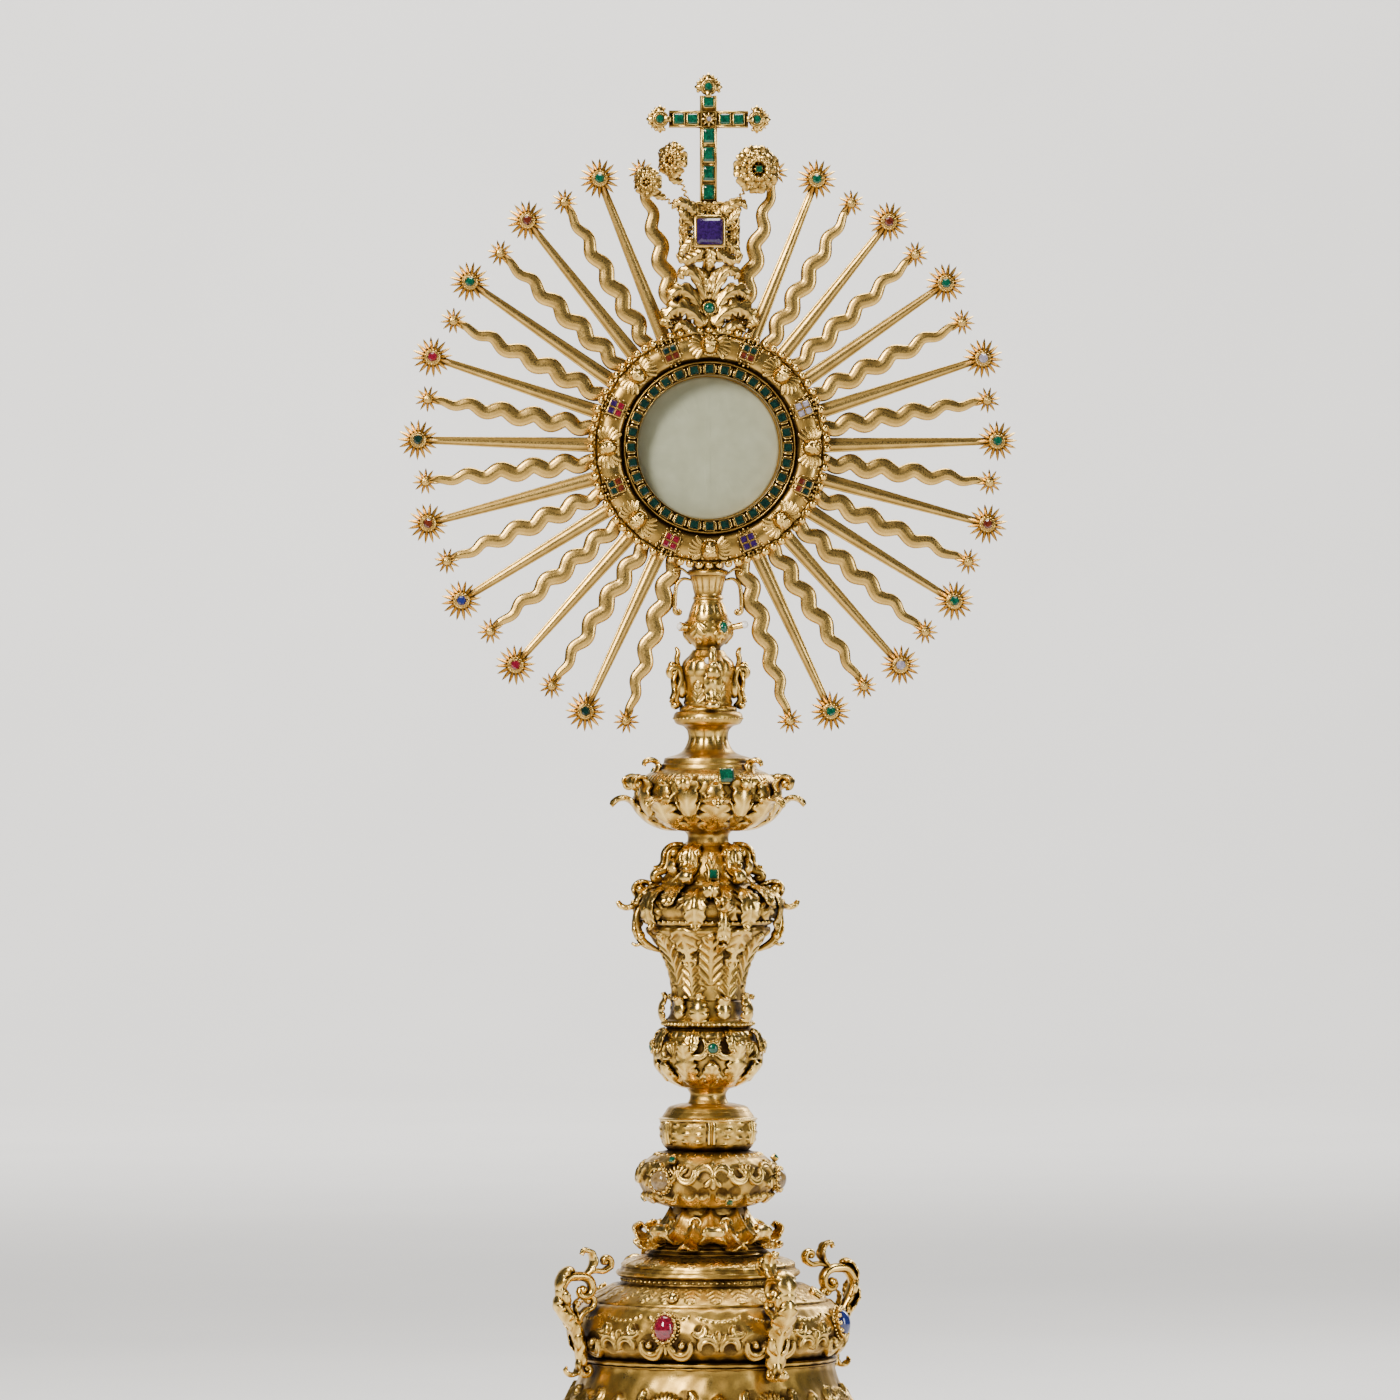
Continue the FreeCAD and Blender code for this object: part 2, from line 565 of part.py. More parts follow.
def make_rear():
    cover = spun([
        (55, RAY_RING_BACK), (57, RAY_RING_BACK), (57, 9.4), (47, 15), (40, 15), (40, CASE_BACK),
        (46.3, CASE_BACK),
    ])
    knuckle_length = 7.0
    plate_y = 14.2

    def knuckle(low):
        body = cylinder(2.0, knuckle_length, V(HINGE_X, HINGE_Y, low), UP)
        tab = Part.makeBox(3.2, HINGE_Y - plate_y, knuckle_length, V(HINGE_X - 1.6, plate_y, low))
        return body.fuse(tab)

    low = SUN_Z - 1.5 * knuckle_length
    bore = cylinder(PIN, 40.0, V(HINGE_X, HINGE_Y, low - 8), UP)
    bar_y = DOOR_BACK + DOOR_GAP
    boss = cylinder(2.4, bar_y - 0.1 - 12.0, V(LATCH_X, 12.0, SUN_Z), BACK)
    pivot_hole = cylinder(1.0, 20.0, V(LATCH_X, 10.0, SUN_Z), BACK)
    seat = cylinder(2.6, SCREW_SEAT - 9.3, V(SCREW_REACH, 9.3, 0), BACK)
    seats = [round_sun(seat, a) for a in SCREW_ANGLES]
    cover = joined(cover, knuckle(low), knuckle(low + 2 * knuckle_length), boss, *seats)
    screw_holes = Part.makeCompound([round_sun(screw_shank(), a) for a in SCREW_ANGLES])
    head_room = cylinder(SCREW_HEAD + 0.2, 5.0, V(SCREW_REACH, SCREW_SEAT, 0), BACK)
    sunk = Part.makeCompound([round_sun(head_room, a) for a in SCREW_ANGLES])
    group("rear_cover", solid_of(cover.cut(bore).cut(pivot_hole).cut(screw_holes).cut(sunk)))
    head = cylinder(SCREW_HEAD, 1.4, V(SCREW_REACH, SCREW_SEAT, 0), BACK)
    slot = Part.makeBox(0.6, 1.0, 5.0, V(SCREW_REACH - 0.3, SCREW_SEAT + 0.8, -2.5))
    screw = joined(screw_shank(), head).cut(slot)
    group("cover_screws", [round_sun(screw, a) for a in SCREW_ANGLES])
    pin_length = 3 * knuckle_length + 2.5
    shank = cylinder(PIN, pin_length, V(HINGE_X, HINGE_Y, low - 1.0), UP)
    head = Part.makeSphere(1.5, V(HINGE_X, HINGE_Y, low + 3 * knuckle_length + 1.5))
    group("hinge_pin", joined(shank, head))

    frame = spun([
        (38, DOOR_FRONT), (DOOR_RADIUS, DOOR_FRONT), (DOOR_RADIUS, 17.2), (42, DOOR_BACK),
        (35.5, DOOR_BACK), (35.5, 17.4), (38, 17.4),
    ])
    middle_low = low + knuckle_length + 0.2
    middle = cylinder(2.0, knuckle_length - 0.4, V(HINGE_X, HINGE_Y, middle_low), UP)
    arm = Part.makeBox(6.0, 1.9, knuckle_length - 0.4, V(HINGE_X, DOOR_FRONT + 0.2, middle_low))
    running = cylinder(PIN + 0.05, 40.0, V(HINGE_X, HINGE_Y, low - 8), UP)
    group("door_frame", solid_of(joined(frame, middle, arm).cut(running)))
    group("door_glass", spun([(0, 15.4), (37.9, 15.4), (37.9, 17.4), (0, 17.4)]))

    bar = Part.makeBox(4.2, 1.6, 12.2, V(LATCH_X - 2.1, bar_y, SUN_Z - 2.1))
    grip = Part.makeBox(1.4, 3.0, 6.0, V(LATCH_X - 0.7, bar_y + 1.6, SUN_Z - 1.0))
    shank = cylinder(0.95, 7.0, V(LATCH_X, bar_y - 6.0, SUN_Z), BACK)
    group("latch_button", joined(bar, grip, shank))


# ---- rays and stars -----------------------------------------------------------------------------
RAY_START = 56.05
STAR_PLATE = 1.6
RAY_TIP = 1.0            # height of a ray's front in front of its plane where the star sits
STAR_FRONT = RAY_PLANE - RAY_TIP - STAR_PLATE


def ray_section(r, across, width, front, rear):
    """A raised flat with bevelled sides in front, and a flatter back."""
    flat, heel = 0.22 * width, 0.34 * width
    return [
        V(r, RAY_PLANE, across - width / 2), V(r, RAY_PLANE - front, across - flat),
        V(r, RAY_PLANE - front, across + flat), V(r, RAY_PLANE, across + width / 2),
        V(r, RAY_PLANE + rear, across + heel), V(r, RAY_PLANE + rear, across - heel),
    ]


def tenon():
    return cylinder(1.5, 7.0, V(RAY_START - 6.5, RAY_PLANE, 0), RIGHT)


def straight_ray():
    landing = RAY_REACH - 12.0
    blade = skinned([
        ray_section(RAY_START, 0, 8.0, 1.9, 0.9),
        ray_section(landing, 0, 4.0, RAY_TIP, 0.5),
        ray_section(RAY_REACH, 0, 3.4, RAY_TIP, 0.5),
    ])
    return joined(blade, tenon())


def wavy_ray(side):
    """Five and a half waves that shorten and shrink a little towards the tip."""
    outlines = []
    stations = 60
    for i in range(stations + 1):
        share = i / float(stations)
        r = RAY_START + share * (SMALL_REACH - RAY_START)
        swing = 2.1 * (1 - 0.35 * share) * min(1.0, share * 6, (1 - share) * 5)
        across = side * swing * math.sin(2 * math.pi * 5.5 * share ** 0.94)
        front = max(RAY_TIP, 1.9 - share)
        width = 7.3 + 0.8 * math.sin(math.pi * min(share / 0.8, 1.0)) - 4.0 * share ** 4
        outlines.append(ray_section(r, across, width, front, 0.9 - 0.4 * share))
    return joined(skinned(outlines), tenon())


def star(points, tip, valley, reach):
    """A flat star plate with thin tapering points, in front of the ray's tip."""
    corners = []
    for k in range(2 * points):
        radius = tip if k % 2 == 0 else valley
        angle = math.pi * k / points
        corners.append(V(reach + radius * math.cos(angle), STAR_FRONT, radius * math.sin(angle)))
    return Part.Face(Part.makePolygon(corners + corners[:1])).extrude(V(0, STAR_PLATE, 0))


def make_rays():
    straight, large, small, waves = [], [], [], []
    blade = straight_ray()
    large_star = star(16, 10.6, 4.4, RAY_REACH)
    small_star = star(12, 6.9, 2.6, SMALL_REACH)
    collet = forward(cylinder(3.0, 1.6, ORIGIN, UP), RAY_REACH, STAR_FRONT, 0)
    large_star = joined(large_star, collet)
    boss = forward(cabochon(2.0, 1.4), SMALL_REACH, STAR_FRONT, 0)
    small_star = joined(small_star, boss)
    left_wave, right_wave = wavy_ray(-1), wavy_ray(1)
    stone = forward(cut_stone(3.4, 3.4, 1.5), RAY_REACH, STAR_FRONT - 1.6, 0)
    stones = []
    for i, angle in enumerate(ray_angles()):
        for side, turn in ((1, angle), (-1, 180 - angle)):
            if i % 2:
                straight.append(round_sun(blade, turn))
                large.append(round_sun(large_star, turn))
                stones.append(round_sun(stone, turn))
            else:
                waves.append(round_sun(right_wave if side > 0 else left_wave, turn))
                small.append(round_sun(small_star, turn))
    group("straight_rays", straight)
    group("wavy_rays", waves)
    group("large_stars", large)
    group("small_stars", small)
    group("star_stones", stones)


# ---- capital and finial -------------------------------------------------------------------------
CROSS_FOOT = 690.5
CROSS_TOP = 748.0
CROSS_BAR = 735.8
CROSS_WIDTH = 9.0
CROSS_DEPTH = 5.0
CROSS_ARM = 20.6         # from the middle of the cross to the end of an arm
TREFOIL = 5.0            # radius of the round of a trefoil, and from an arm's end to its middle
AMETHYST_Z = 677.0
FINIAL_Y = -3.0
FLOWER_Y = -10.6
FLOWER_ROOTS = [(-9.8, 688.6), (-12.6, 685.0), (11.4, 686.6)]
LUG = 1.6                # radius of the lugs that the blossoms' wires spring from


def make_capital():
    body = turned([
        (7.4, GLORY_SEAT), (7.4, 489), ((7.4, 493), (9.6, 497.5)), (10.4, 499.5), (10.4, 508.5),
        (0, 508.5), (0, GLORY_SEAT),
    ])
    corner = V(-TANG_SIDE / 2, -TANG_SIDE / 2, GLORY_SEAT - TANG_LENGTH)
    tang = Part.makeBox(TANG_SIDE, TANG_SIDE, TANG_LENGTH + 2, corner)
    drum = cylinder(RAY_RING_OUT, 60.0, V(0, -30, SUN_Z), BACK)
    lip = cylinder(RING_OUT, 26.0, V(0, -30, SUN_Z), BACK)
    capital = seated(body, drum, lip, cylinder(57.0, 30.0, V(0, 8, SUN_Z), BACK))
    capital = joined(seated(capital, *parts["bead_border"].Solids), tang)
    ring_bottom = SUN_Z - RAY_RING_OUT
    group("capital", joined(capital, cylinder(TENON, 10.0, V(0, TENON_Y, ring_bottom - 4), UP)))


def make_finial():
    ring = cylinder(RING_OUT, 60.0, V(0, -30, SUN_Z), BACK)
    stem = Part.makeCylinder(6.0, 46.0, V(0, FINIAL_Y, 620.0), UP)
    base = Part.makeBox(18.0, 12.0, 14.0, V(-9.0, FINIAL_Y - 4.5, 620.0))
    wings = []
    for side in (-1, 1):
        spine = [(4, 630), (12, 638), (19, 637), (23, 631), (20, 627.2), (16.6, 629.6)]
        wing = ribbon(spine, [6, 6, 6, 5, 4, 3.5], 3.0)
        if side < 0:
            wing = wing.mirror(ORIGIN, RIGHT)
        wing.translate(V(0, FINIAL_Y - 2.0, 0))
        wings.append(wing)
    collet = forward(cylinder(3.6, 5.0, ORIGIN, UP), 0, FINIAL_Y - 3.0, 637.5)
    whole = joined(stem, base, collet, *wings)
    whole = seated(whole, ring, *parts["bead_border"].Solids)
    tenon_foot = SUN_Z + RAY_RING_IN + 1
    whole = joined(whole, cylinder(TENON, 12.0, V(0, TENON_Y, tenon_foot), UP))
    group("finial_base", whole)

    plate = forward(cylinder(17.0, 3.0, ORIGIN, UP), 0, FINIAL_Y - 3.0, AMETHYST_Z)
    backing = forward(cylinder(12.0, 6.0, ORIGIN, UP), 0, FINIAL_Y + 3.0, AMETHYST_Z)
    frame = Part.makeBox(16.4, 2.0, 16.4, V(-8.2, FINIAL_Y - 8.0, AMETHYST_Z - 8.2))
    lugs = [forward(cylinder(LUG, 3.2, ORIGIN, UP), x, FINIAL_Y - 6.0, z) for x, z in FLOWER_ROOTS]
    setting = joined(plate, backing, frame, *lugs)
    group("amethyst_setting", seated(setting, whole))
    group("amethyst", forward(cut_stone(14.0, 14.0, 3.2, 0.78), 0, FINIAL_Y - 8.0, AMETHYST_Z))

    half = CROSS_WIDTH / 2
    rear = FINIAL_Y + CROSS_DEPTH / 2

    def bar(length):
        """A bar from the origin along +X with bevelled front edges."""
        shoulder, front = rear - 0.5 * CROSS_DEPTH, rear - CROSS_DEPTH
        outline = [
            V(0, rear, -half), V(0, shoulder, -half), V(0, front, -0.74 * half),
            V(0, front, 0.74 * half), V(0, shoulder, half), V(0, rear, half),
        ]
        return Part.Face(Part.makePolygon(outline + outline[:1])).extrude(V(length, 0, 0))

    upright = bar(CROSS_TOP - CROSS_FOOT)
    upright.rotate(ORIGIN, BACK, -90)
    upright.translate(V(0, 0, CROSS_FOOT))
    beam = bar(2 * CROSS_ARM)
    beam.translate(V(-CROSS_ARM, 0, CROSS_BAR))
    ends = []
    side, top = CROSS_ARM + TREFOIL - 0.4, CROSS_TOP + TREFOIL - 0.4
    for x, z, turn in ((side, CROSS_BAR, 0), (-side, CROSS_BAR, 180), (0, top, 90)):
        end = Part.makeCylinder(TREFOIL, 3.0, V(0, -1.5, 0), BACK)
        for way in (V(0, 0, -1), V(1, 0, 0), V(0, 0, 1)):
            end = end.fuse(Part.makeCone(2.6, 0.7, 3.2, way * 3.4, way))
        end = solid_of(end)
        end.rotate(ORIGIN, BACK, -turn)
        end.translate(V(x, FINIAL_Y, z))
        ends.append(end)
    cross = joined(upright, beam, *ends)
    group("cross", seated(cross, parts["amethyst_setting"], whole))

    face = rear - CROSS_DEPTH
    tall = cut_stone(5.8, 7.6, 1.3)
    square = cut_stone(5.4, 5.4, 1.3)
    low_stones = 4
    first, pitch = 8.6, 9.8
    stones = [forward(tall, 0, face, CROSS_BAR - first - pitch * k) for k in range(low_stones)]
    stones += [forward(square, 0, face, CROSS_BAR + 8.8)]
    stones += [forward(square, x, face, CROSS_BAR) for x in (-15.6, -8.4, 8.4, 15.6)]
    round_stone = cabochon(2.4, 1.4)
    trefoil_face = FINIAL_Y - 1.5
    stones += [forward(round_stone, x, trefoil_face, CROSS_BAR) for x in (-side, side)]
    stones += [forward(round_stone, 0, trefoil_face, top)]
    stones += [forward(cabochon(3.0, 2.0), 0, FINIAL_Y - 8.0, 637.5)]
    group("finial_emeralds", stones)


def flower(root, head, radius, lean):
    """A blossom on a wire stem: root and head are points, lean turns the blossom about the vertical."""
    way = head - root
    clear = LUG + 0.3
    start = root + way * (clear / way.Length)
    wire = cylinder(0.7, way.Length - clear - 1.0, start, way)
    cup = cabochon(radius * 0.4, radius * 0.35)
    disc = cylinder(radius, 1.6, V(0, 0, -1.6), UP)
    inner = cylinder(radius * 0.66, 1.4, ORIGIN, UP)
    cup.translate(V(0, 0, 1.4))
    blossom = joined(disc, inner, cup)
    blossom.rotate(ORIGIN, RIGHT, 90)
    blossom.rotate(ORIGIN, UP, lean)
    blossom.translate(head)
    return joined(blossom, wire)


def make_flowers():
    """Three blossoms on springy wires that tremble when the monstrance is carried."""
    blossoms = [
        ("flower_left_high", V(-18.6, FLOWER_Y - 2.0, 714.0), 8.6, -38),
        ("flower_left_low", V(-31.8, FLOWER_Y - 2.0, 702.4), 7.2, -25),
        ("flower_right", V(23.8, FLOWER_Y - 2.0, 709.2), 12.0, 14),
    ]
    for (x, z), (name, head, radius, lean) in zip(FLOWER_ROOTS, blossoms):
        group(name, flower(V(x, FLOWER_Y, z), head, radius, lean))


make_foot()
make_lower_stem()
make_upper_stem()
make_stand_stones()
make_tie_rod()
make_case()
make_rear()
make_rays()
make_capital()
make_finial()
make_flowers()

os.makedirs("parts", exist_ok=True)
for name in os.listdir("parts"):
    os.remove(os.path.join("parts", name))
for name, shape in parts.items():
    valid = all(s.isValid() and s.Volume > 0 for s in shape.Solids)
    print(f"{name}: {len(shape.Solids)} solids, {shape.Volume:.0f} mm3, valid {valid}")
    shape.exportStep(f"parts/{name}.step")
print(len(parts), "parts")
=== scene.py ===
"""Looks for the monstrance: gilt castings with real relief, cut stones, rays, stars and blossoms.

Shapes are built in millimetres as numpy arrays of points (x, y, z, relief) with lists of faces, and
turned into metre-sized Blender pieces at the end. relief runs from 0 in a recess to 1 on a crest and
drives the patina. A shape made towards +X is carried round the stem or the host by around() or sunward().
"""
import json
import math

import bpy
import numpy as np
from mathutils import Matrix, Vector


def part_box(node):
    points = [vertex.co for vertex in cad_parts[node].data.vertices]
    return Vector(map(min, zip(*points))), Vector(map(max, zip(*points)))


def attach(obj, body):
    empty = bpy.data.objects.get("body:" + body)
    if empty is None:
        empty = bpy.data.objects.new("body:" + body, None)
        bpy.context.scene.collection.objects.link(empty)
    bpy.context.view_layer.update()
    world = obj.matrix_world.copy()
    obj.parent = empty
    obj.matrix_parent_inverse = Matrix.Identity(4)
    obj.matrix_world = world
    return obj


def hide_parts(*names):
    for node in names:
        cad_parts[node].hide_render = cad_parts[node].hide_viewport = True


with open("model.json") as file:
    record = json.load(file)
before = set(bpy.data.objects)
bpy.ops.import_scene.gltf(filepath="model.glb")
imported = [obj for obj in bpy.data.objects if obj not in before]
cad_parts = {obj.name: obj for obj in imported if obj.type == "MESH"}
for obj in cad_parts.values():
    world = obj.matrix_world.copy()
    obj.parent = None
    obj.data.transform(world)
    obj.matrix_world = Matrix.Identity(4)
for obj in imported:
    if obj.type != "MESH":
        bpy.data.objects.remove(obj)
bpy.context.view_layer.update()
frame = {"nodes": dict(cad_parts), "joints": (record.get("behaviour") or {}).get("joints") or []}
MM = 0.001
TAU = 2 * math.pi
rng = np.random.default_rng(7)


# ---- places read from the frame, in millimetres --------------------------------------------------
def low(node):
    return np.array(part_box(node)[0]) / MM


def high(node):
    return np.array(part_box(node)[1]) / MM


def span(node):
    """The level of a node's underside, and its height above that."""
    foot = low(node)[2]
    return foot, high(node)[2] - foot


def middle_of(node):
    return (low(node) + high(node)) / 2


SUN = middle_of("host")[2]
RAY_Y = middle_of("straight_rays")[1]
FINIAL_Y = middle_of("cross")[1]
RING_FACE = low("ring_front")[1]
# radii of the holes through stem pieces, and of the hair-thin one that closes the capital's cup
BORE, UPPER_BORE, CUP_BORE = 5, 4.6, 0.3
# the pins that hold capital and finial in the ray ring: radius, depth, and reach from the host's middle
TENON, TENON_Y, TENON_REACH = 2.45, 2.0, 51


# ---- shape arithmetic ----------------------------------------------------------------------------
def points(xyz):
    """Points in space given an even relief."""
    xyz = np.asarray(xyz, float)
    return np.concatenate([xyz, np.full(xyz.shape[:-1] + (1,), 0.7)], -1)


def grid(p):
    """Quads over a grid of points (rows, round), closed round each row."""
    rows, columns = p.shape[:2]
    index = np.arange(rows * columns).reshape(rows, columns)
    index = np.hstack([index, index[:, :1]])
    a, b, c, d = index[:-1, :-1], index[1:, :-1], index[1:, 1:], index[:-1, 1:]
    quads = np.stack([a, d, c, b], -1).reshape(-1, 4)
    return p.reshape(-1, p.shape[-1]), [quads]


def merged(*shapes):
    """One shape of several."""
    every, faces, count = [], [], 0
    for verts, blocks in shapes:
        every.append(verts)
        faces += [block + count for block in blocks]
        count += len(verts)
    return np.vstack(every), faces


def facing_out(verts, faces):
    """A closed shape with its faces turned outwards."""
    volume = 0.0
    for block in faces:
        for k in range(1, block.shape[1] - 1):
            a, b, c = (verts[block[:, i], :3] for i in (0, k, k + 1))
            volume += np.einsum("ij,ij->", a, np.cross(b, c))
    return verts, faces if volume > 0 else [block[:, ::-1] for block in faces]


def capped(p):
    """A tube of points (stations, round) closed at both ends with a fan."""
    verts, faces = grid(p)
    rows, columns = p.shape[:2]
    ends = np.stack([p[0].mean(0), p[-1].mean(0)])
    first, last = len(verts), len(verts) + 1
    ring = np.arange(columns)
    following = np.roll(ring, -1)
    start = np.stack([np.full(columns, first), following, ring], -1)
    base = (rows - 1) * columns
    finish = np.stack([np.full(columns, last), base + ring, base + following], -1)
    return facing_out(np.vstack([verts, ends]), faces + [start, finish])


def moved(shape, x=0.0, y=0.0, z=0.0):
    verts = shape[0].copy()
    verts[:, :3] += (x, y, z)
    return verts, shape[1]


def scaled(shape, x=1.0, y=1.0, z=1.0):
    verts = shape[0].copy()
    verts[:, :3] *= (x, y, z)
    faces = shape[1]
    if x * y * z < 0:
        faces = [block[:, ::-1] for block in faces]
    return verts, faces


def rotated(shape, axis, degrees):
    """Turned about a row axis (0 X, 1 Y, 2 Z) by the right-hand rule."""
    verts = shape[0].copy()
    a, b = [(1, 2), (2, 0), (0, 1)][axis]
    c, s = math.cos(math.radians(degrees)), math.sin(math.radians(degrees))
    p, q = verts[:, a].copy(), verts[:, b].copy()
    verts[:, a], verts[:, b] = c * p - s * q, s * p + c * q
    return verts, shape[1]


def around(shape, azimuths):
    """Copies of a shape made towards +X, carried round the stem to azimuths from the front."""
    return merged(*[rotated(shape, 2, a - 90) for a in azimuths])


def sunward(shape, angles):
    """Copies of a shape made towards +X from the host's middle, turned up to angles in the sun's plane."""
    return merged(*[moved(rotated(shape, 1, -a), z=SUN) for a in angles])


def evenly(count, first=0.0):
    return [first + 360.0 * k / count for k in range(count)]


def facing_front(shape):
    """A shape made along +Z turned to face the front."""
    return rotated(shape, 0, 90)


def outward(shape, radius, height, azimuths, tilt=0.0):
    """A shape made along +Z, turned to point out of the stem and tilted up, at one azimuth or several."""
    return around(moved(rotated(shape, 1, 90 - tilt), x=radius, z=height), np.atleast_1d(azimuths))


def level(z, outline):
    """An outline whose heights were given from a level z."""
    return [point and (point[0], z + point[1]) for point in outline]


def smooth(controls, per_span=8):
    """A Catmull-Rom curve through points. None between points makes a sharp corner."""
    runs, run = [], []
    for item in controls:
        if item is None:
            runs.append(run)
            run = [run[-1]]
        else:
            run.append(item)
    runs.append(run)
    out = []
    for run in [r for r in runs if len(r) > 1]:
        c = np.array(run, float)
        if len(c) == 2:
            out.append(c[0] + (c[1] - c[0]) * np.linspace(0, 1, max(2, per_span // 2))[:, None])
            continue
        c = np.vstack([2 * c[0] - c[1], c, 2 * c[-1] - c[-2]])
        t = np.linspace(0, 1, per_span, endpoint=False)[:, None]
        for p0, p1, p2, p3 in zip(c, c[1:], c[2:], c[3:]):
            out.append(0.5 * (2 * p1 + (p2 - p0) * t + (2 * p0 - 5 * p1 + 4 * p2 - p3) * t ** 2
                              + (3 * p1 - p0 - 3 * p2 + p3) * t ** 3))
        out.append(c[-2:-1])
    path = np.vstack(out)
    keep = np.r_[True, np.linalg.norm(np.diff(path, axis=0), axis=1) > 1e-6]
    return path[keep]


def normals_of(path):
    """Unit normals to the left of a plane path."""
    t = np.gradient(path, axis=0)
    t /= np.maximum(np.linalg.norm(t, axis=1, keepdims=True), 1e-9)
    return np.stack([-t[:, 1], t[:, 0]], -1)


# ---- shape makers --------------------------------------------------------------------------------
def lathe(profile, relief=None, steps=180, per_span=8, lobes=None):
    """A body turned about the stem. relief(theta, radius, z) gives (millimetres out, patina 0 to 1)."""
    path = smooth(profile, per_span)
    theta = np.linspace(0, TAU, steps, endpoint=False)
    out = -normals_of(path)
    t, r = np.meshgrid(theta, path[:, 0])
    z = np.repeat(path[:, 1][:, None], steps, 1)
    lift, patina = (0 * r, 0 * r + 0.62) if relief is None else relief(t, r, z)
    r = r + lift * out[:, 0][:, None]
    z = z + lift * out[:, 1][:, None]
    if lobes is not None:
        r = r * lobes(t)
    p = np.stack([r * np.cos(t), r * np.sin(t), z, patina], -1)
    return grid(p)


def turned(z, outline, relief, steps, per_span, bore=BORE, lobes=None):
    """A lathe body that stands on a level z. Its outline is the outside, and the bore closes it."""
    closing = [None, (bore, outline[-1][1]), None, (bore, outline[0][1]), None, outline[0]]
    return lathe(level(z, outline + closing), relief, steps, per_span, lobes)


def front_lathe(profile, relief=None, steps=240, per_span=6):
    """The same about the host's own axis: the profile is (radius, depth), front towards -Y."""
    return moved(rotated(lathe(profile, relief, steps, per_span), 0, 90), z=SUN)


def tube(path, across, thick):
    """A bar along a plane path (a, b): half-widths across the plane and in it."""
    path = np.asarray(path, float)
    n = normals_of(path)
    across = np.broadcast_to(across, len(path))[:, None]
    thick = np.broadcast_to(thick, len(path))[:, None]
    phi = np.linspace(0, TAU, 10, endpoint=False)[None, :]
    lift = thick * np.sin(phi)
    p = np.stack([
        path[:, :1] + n[:, :1] * lift,
        across * np.cos(phi),
        path[:, 1:] + n[:, 1:] * lift,
        np.broadcast_to(0.75 - 0.3 * np.cos(2 * phi) ** 2, lift.shape),
    ], -1)
    return capped(p)


def leaf_net(controls, width, lobes, waves, blunt, taper):
    """What leaf and frond share: path, normals, half-widths, places along and across, upper or under side."""
    path = smooth(controls, 7)
    s = np.linspace(0, 1, len(path))
    swell = np.sin(np.pi * np.clip(0.2 + taper * s, 0, 1)) ** 0.7
    swell = np.maximum(swell, blunt * np.exp(-((1 - s) / 0.1) ** 2))
    teeth = 1 - waves * (1 - np.abs(np.sin(np.pi * lobes * s)) ** 0.5)
    half = width / 2 * swell * teeth + 0.12
    across = 11
    t = np.linspace(-1, 1, across)
    t = np.concatenate([t, t[::-1][1:-1]])
    side = np.r_[np.ones(across), -np.ones(across - 2)]
    S, T = np.meshgrid(s, t, indexing="ij")
    return path, normals_of(path), half[:, None], S, T, side


def frond(controls, width, lobes, thick, belly, blunt=0.12, waves=0.42):
    """An acanthus leaf that lies in the sun's plane and faces the front, along a path of (x, z)."""
    path, n, half, S, T, side = leaf_net(controls, width, lobes, waves, blunt, 0.8)
    rib = np.exp(-(T / 0.14) ** 2)
    fan = np.cos(TAU * lobes * (S - 0.14 * np.abs(T))) * np.abs(T)
    small = np.minimum(1, half / 3)
    front = small * (belly * (1 - T ** 2) + 0.5 * rib - 0.7 * fan * (side > 0))
    lift = front + side * thick / 2 * np.sqrt(np.clip(1.05 - T ** 2, 0, 1))
    p = np.stack([
        path[:, :1] + n[:, :1] * half * T,
        -lift,
        path[:, 1:] + n[:, 1:] * half * T,
        0.42 + 0.45 * rib - 0.45 * fan + 0.2 * np.abs(T),
    ], -1)
    return capped(p)


def leaf(controls, width, lobes, thick, cup, vein, blunt=0.16, waves=0.25, taper=0.8):
    """An acanthus leaf along a plane path: lobed edges, a raised midrib and fanned side veins."""
    path, n, half, S, T, side = leaf_net(controls, width, lobes, waves, blunt, taper)
    edge = np.sqrt(np.clip(1 - T ** 2, 0, 1))
    rib = np.exp(-(T / 0.16) ** 2)
    fan = np.cos(TAU * lobes * (S - 0.12 * np.abs(T))) * np.abs(T)
    lift = cup * half * T ** 2 + side * (thick / 2) * (0.35 + 0.65 * edge)
    lift = lift + (vein * (rib - 0.35 * fan * edge)) * np.minimum(1, half / 2) * (side > 0)
    p = np.stack([
        path[:, :1] + n[:, :1] * lift,
        half * T,
        path[:, 1:] + n[:, 1:] * lift,
        0.4 + 0.45 * rib - 0.42 * fan + 0.28 * np.abs(T),
    ], -1)
    return capped(p)


def spiral(centre, start, radius, turns, shrink=0.25, count=26):
    """Points of a spiral from start degrees at a radius, wound in by turns (negative is clockwise)."""
    u = np.linspace(0, 1, count)
    a = math.radians(start) + TAU * turns * u
    r = radius * (1 - (1 - shrink) * u)
    return np.stack([centre[0] + r * np.cos(a), centre[1] + r * np.sin(a)], -1)


def volute(controls, end, width, thick, eye=0.0):
    """A scroll: a smooth path that runs into the spiral given by end = (centre, start, radius, turns)."""
    path = np.vstack([smooth(controls, 6), spiral(*end)]) if end else smooth(controls, 6)
    s = np.linspace(0, 1, len(path))
    swell = 0.45 + 0.55 * np.sin(np.pi * np.clip(s * 1.05, 0, 1)) ** 0.6
    shapes = [tube(path, width / 2 * swell, thick / 2 * swell)]
    if eye:
        shapes.append(moved(scaled(ball(eye), y=width / eye / 2.6), x=end[0][0], z=end[0][1]))
    return merged(*shapes)


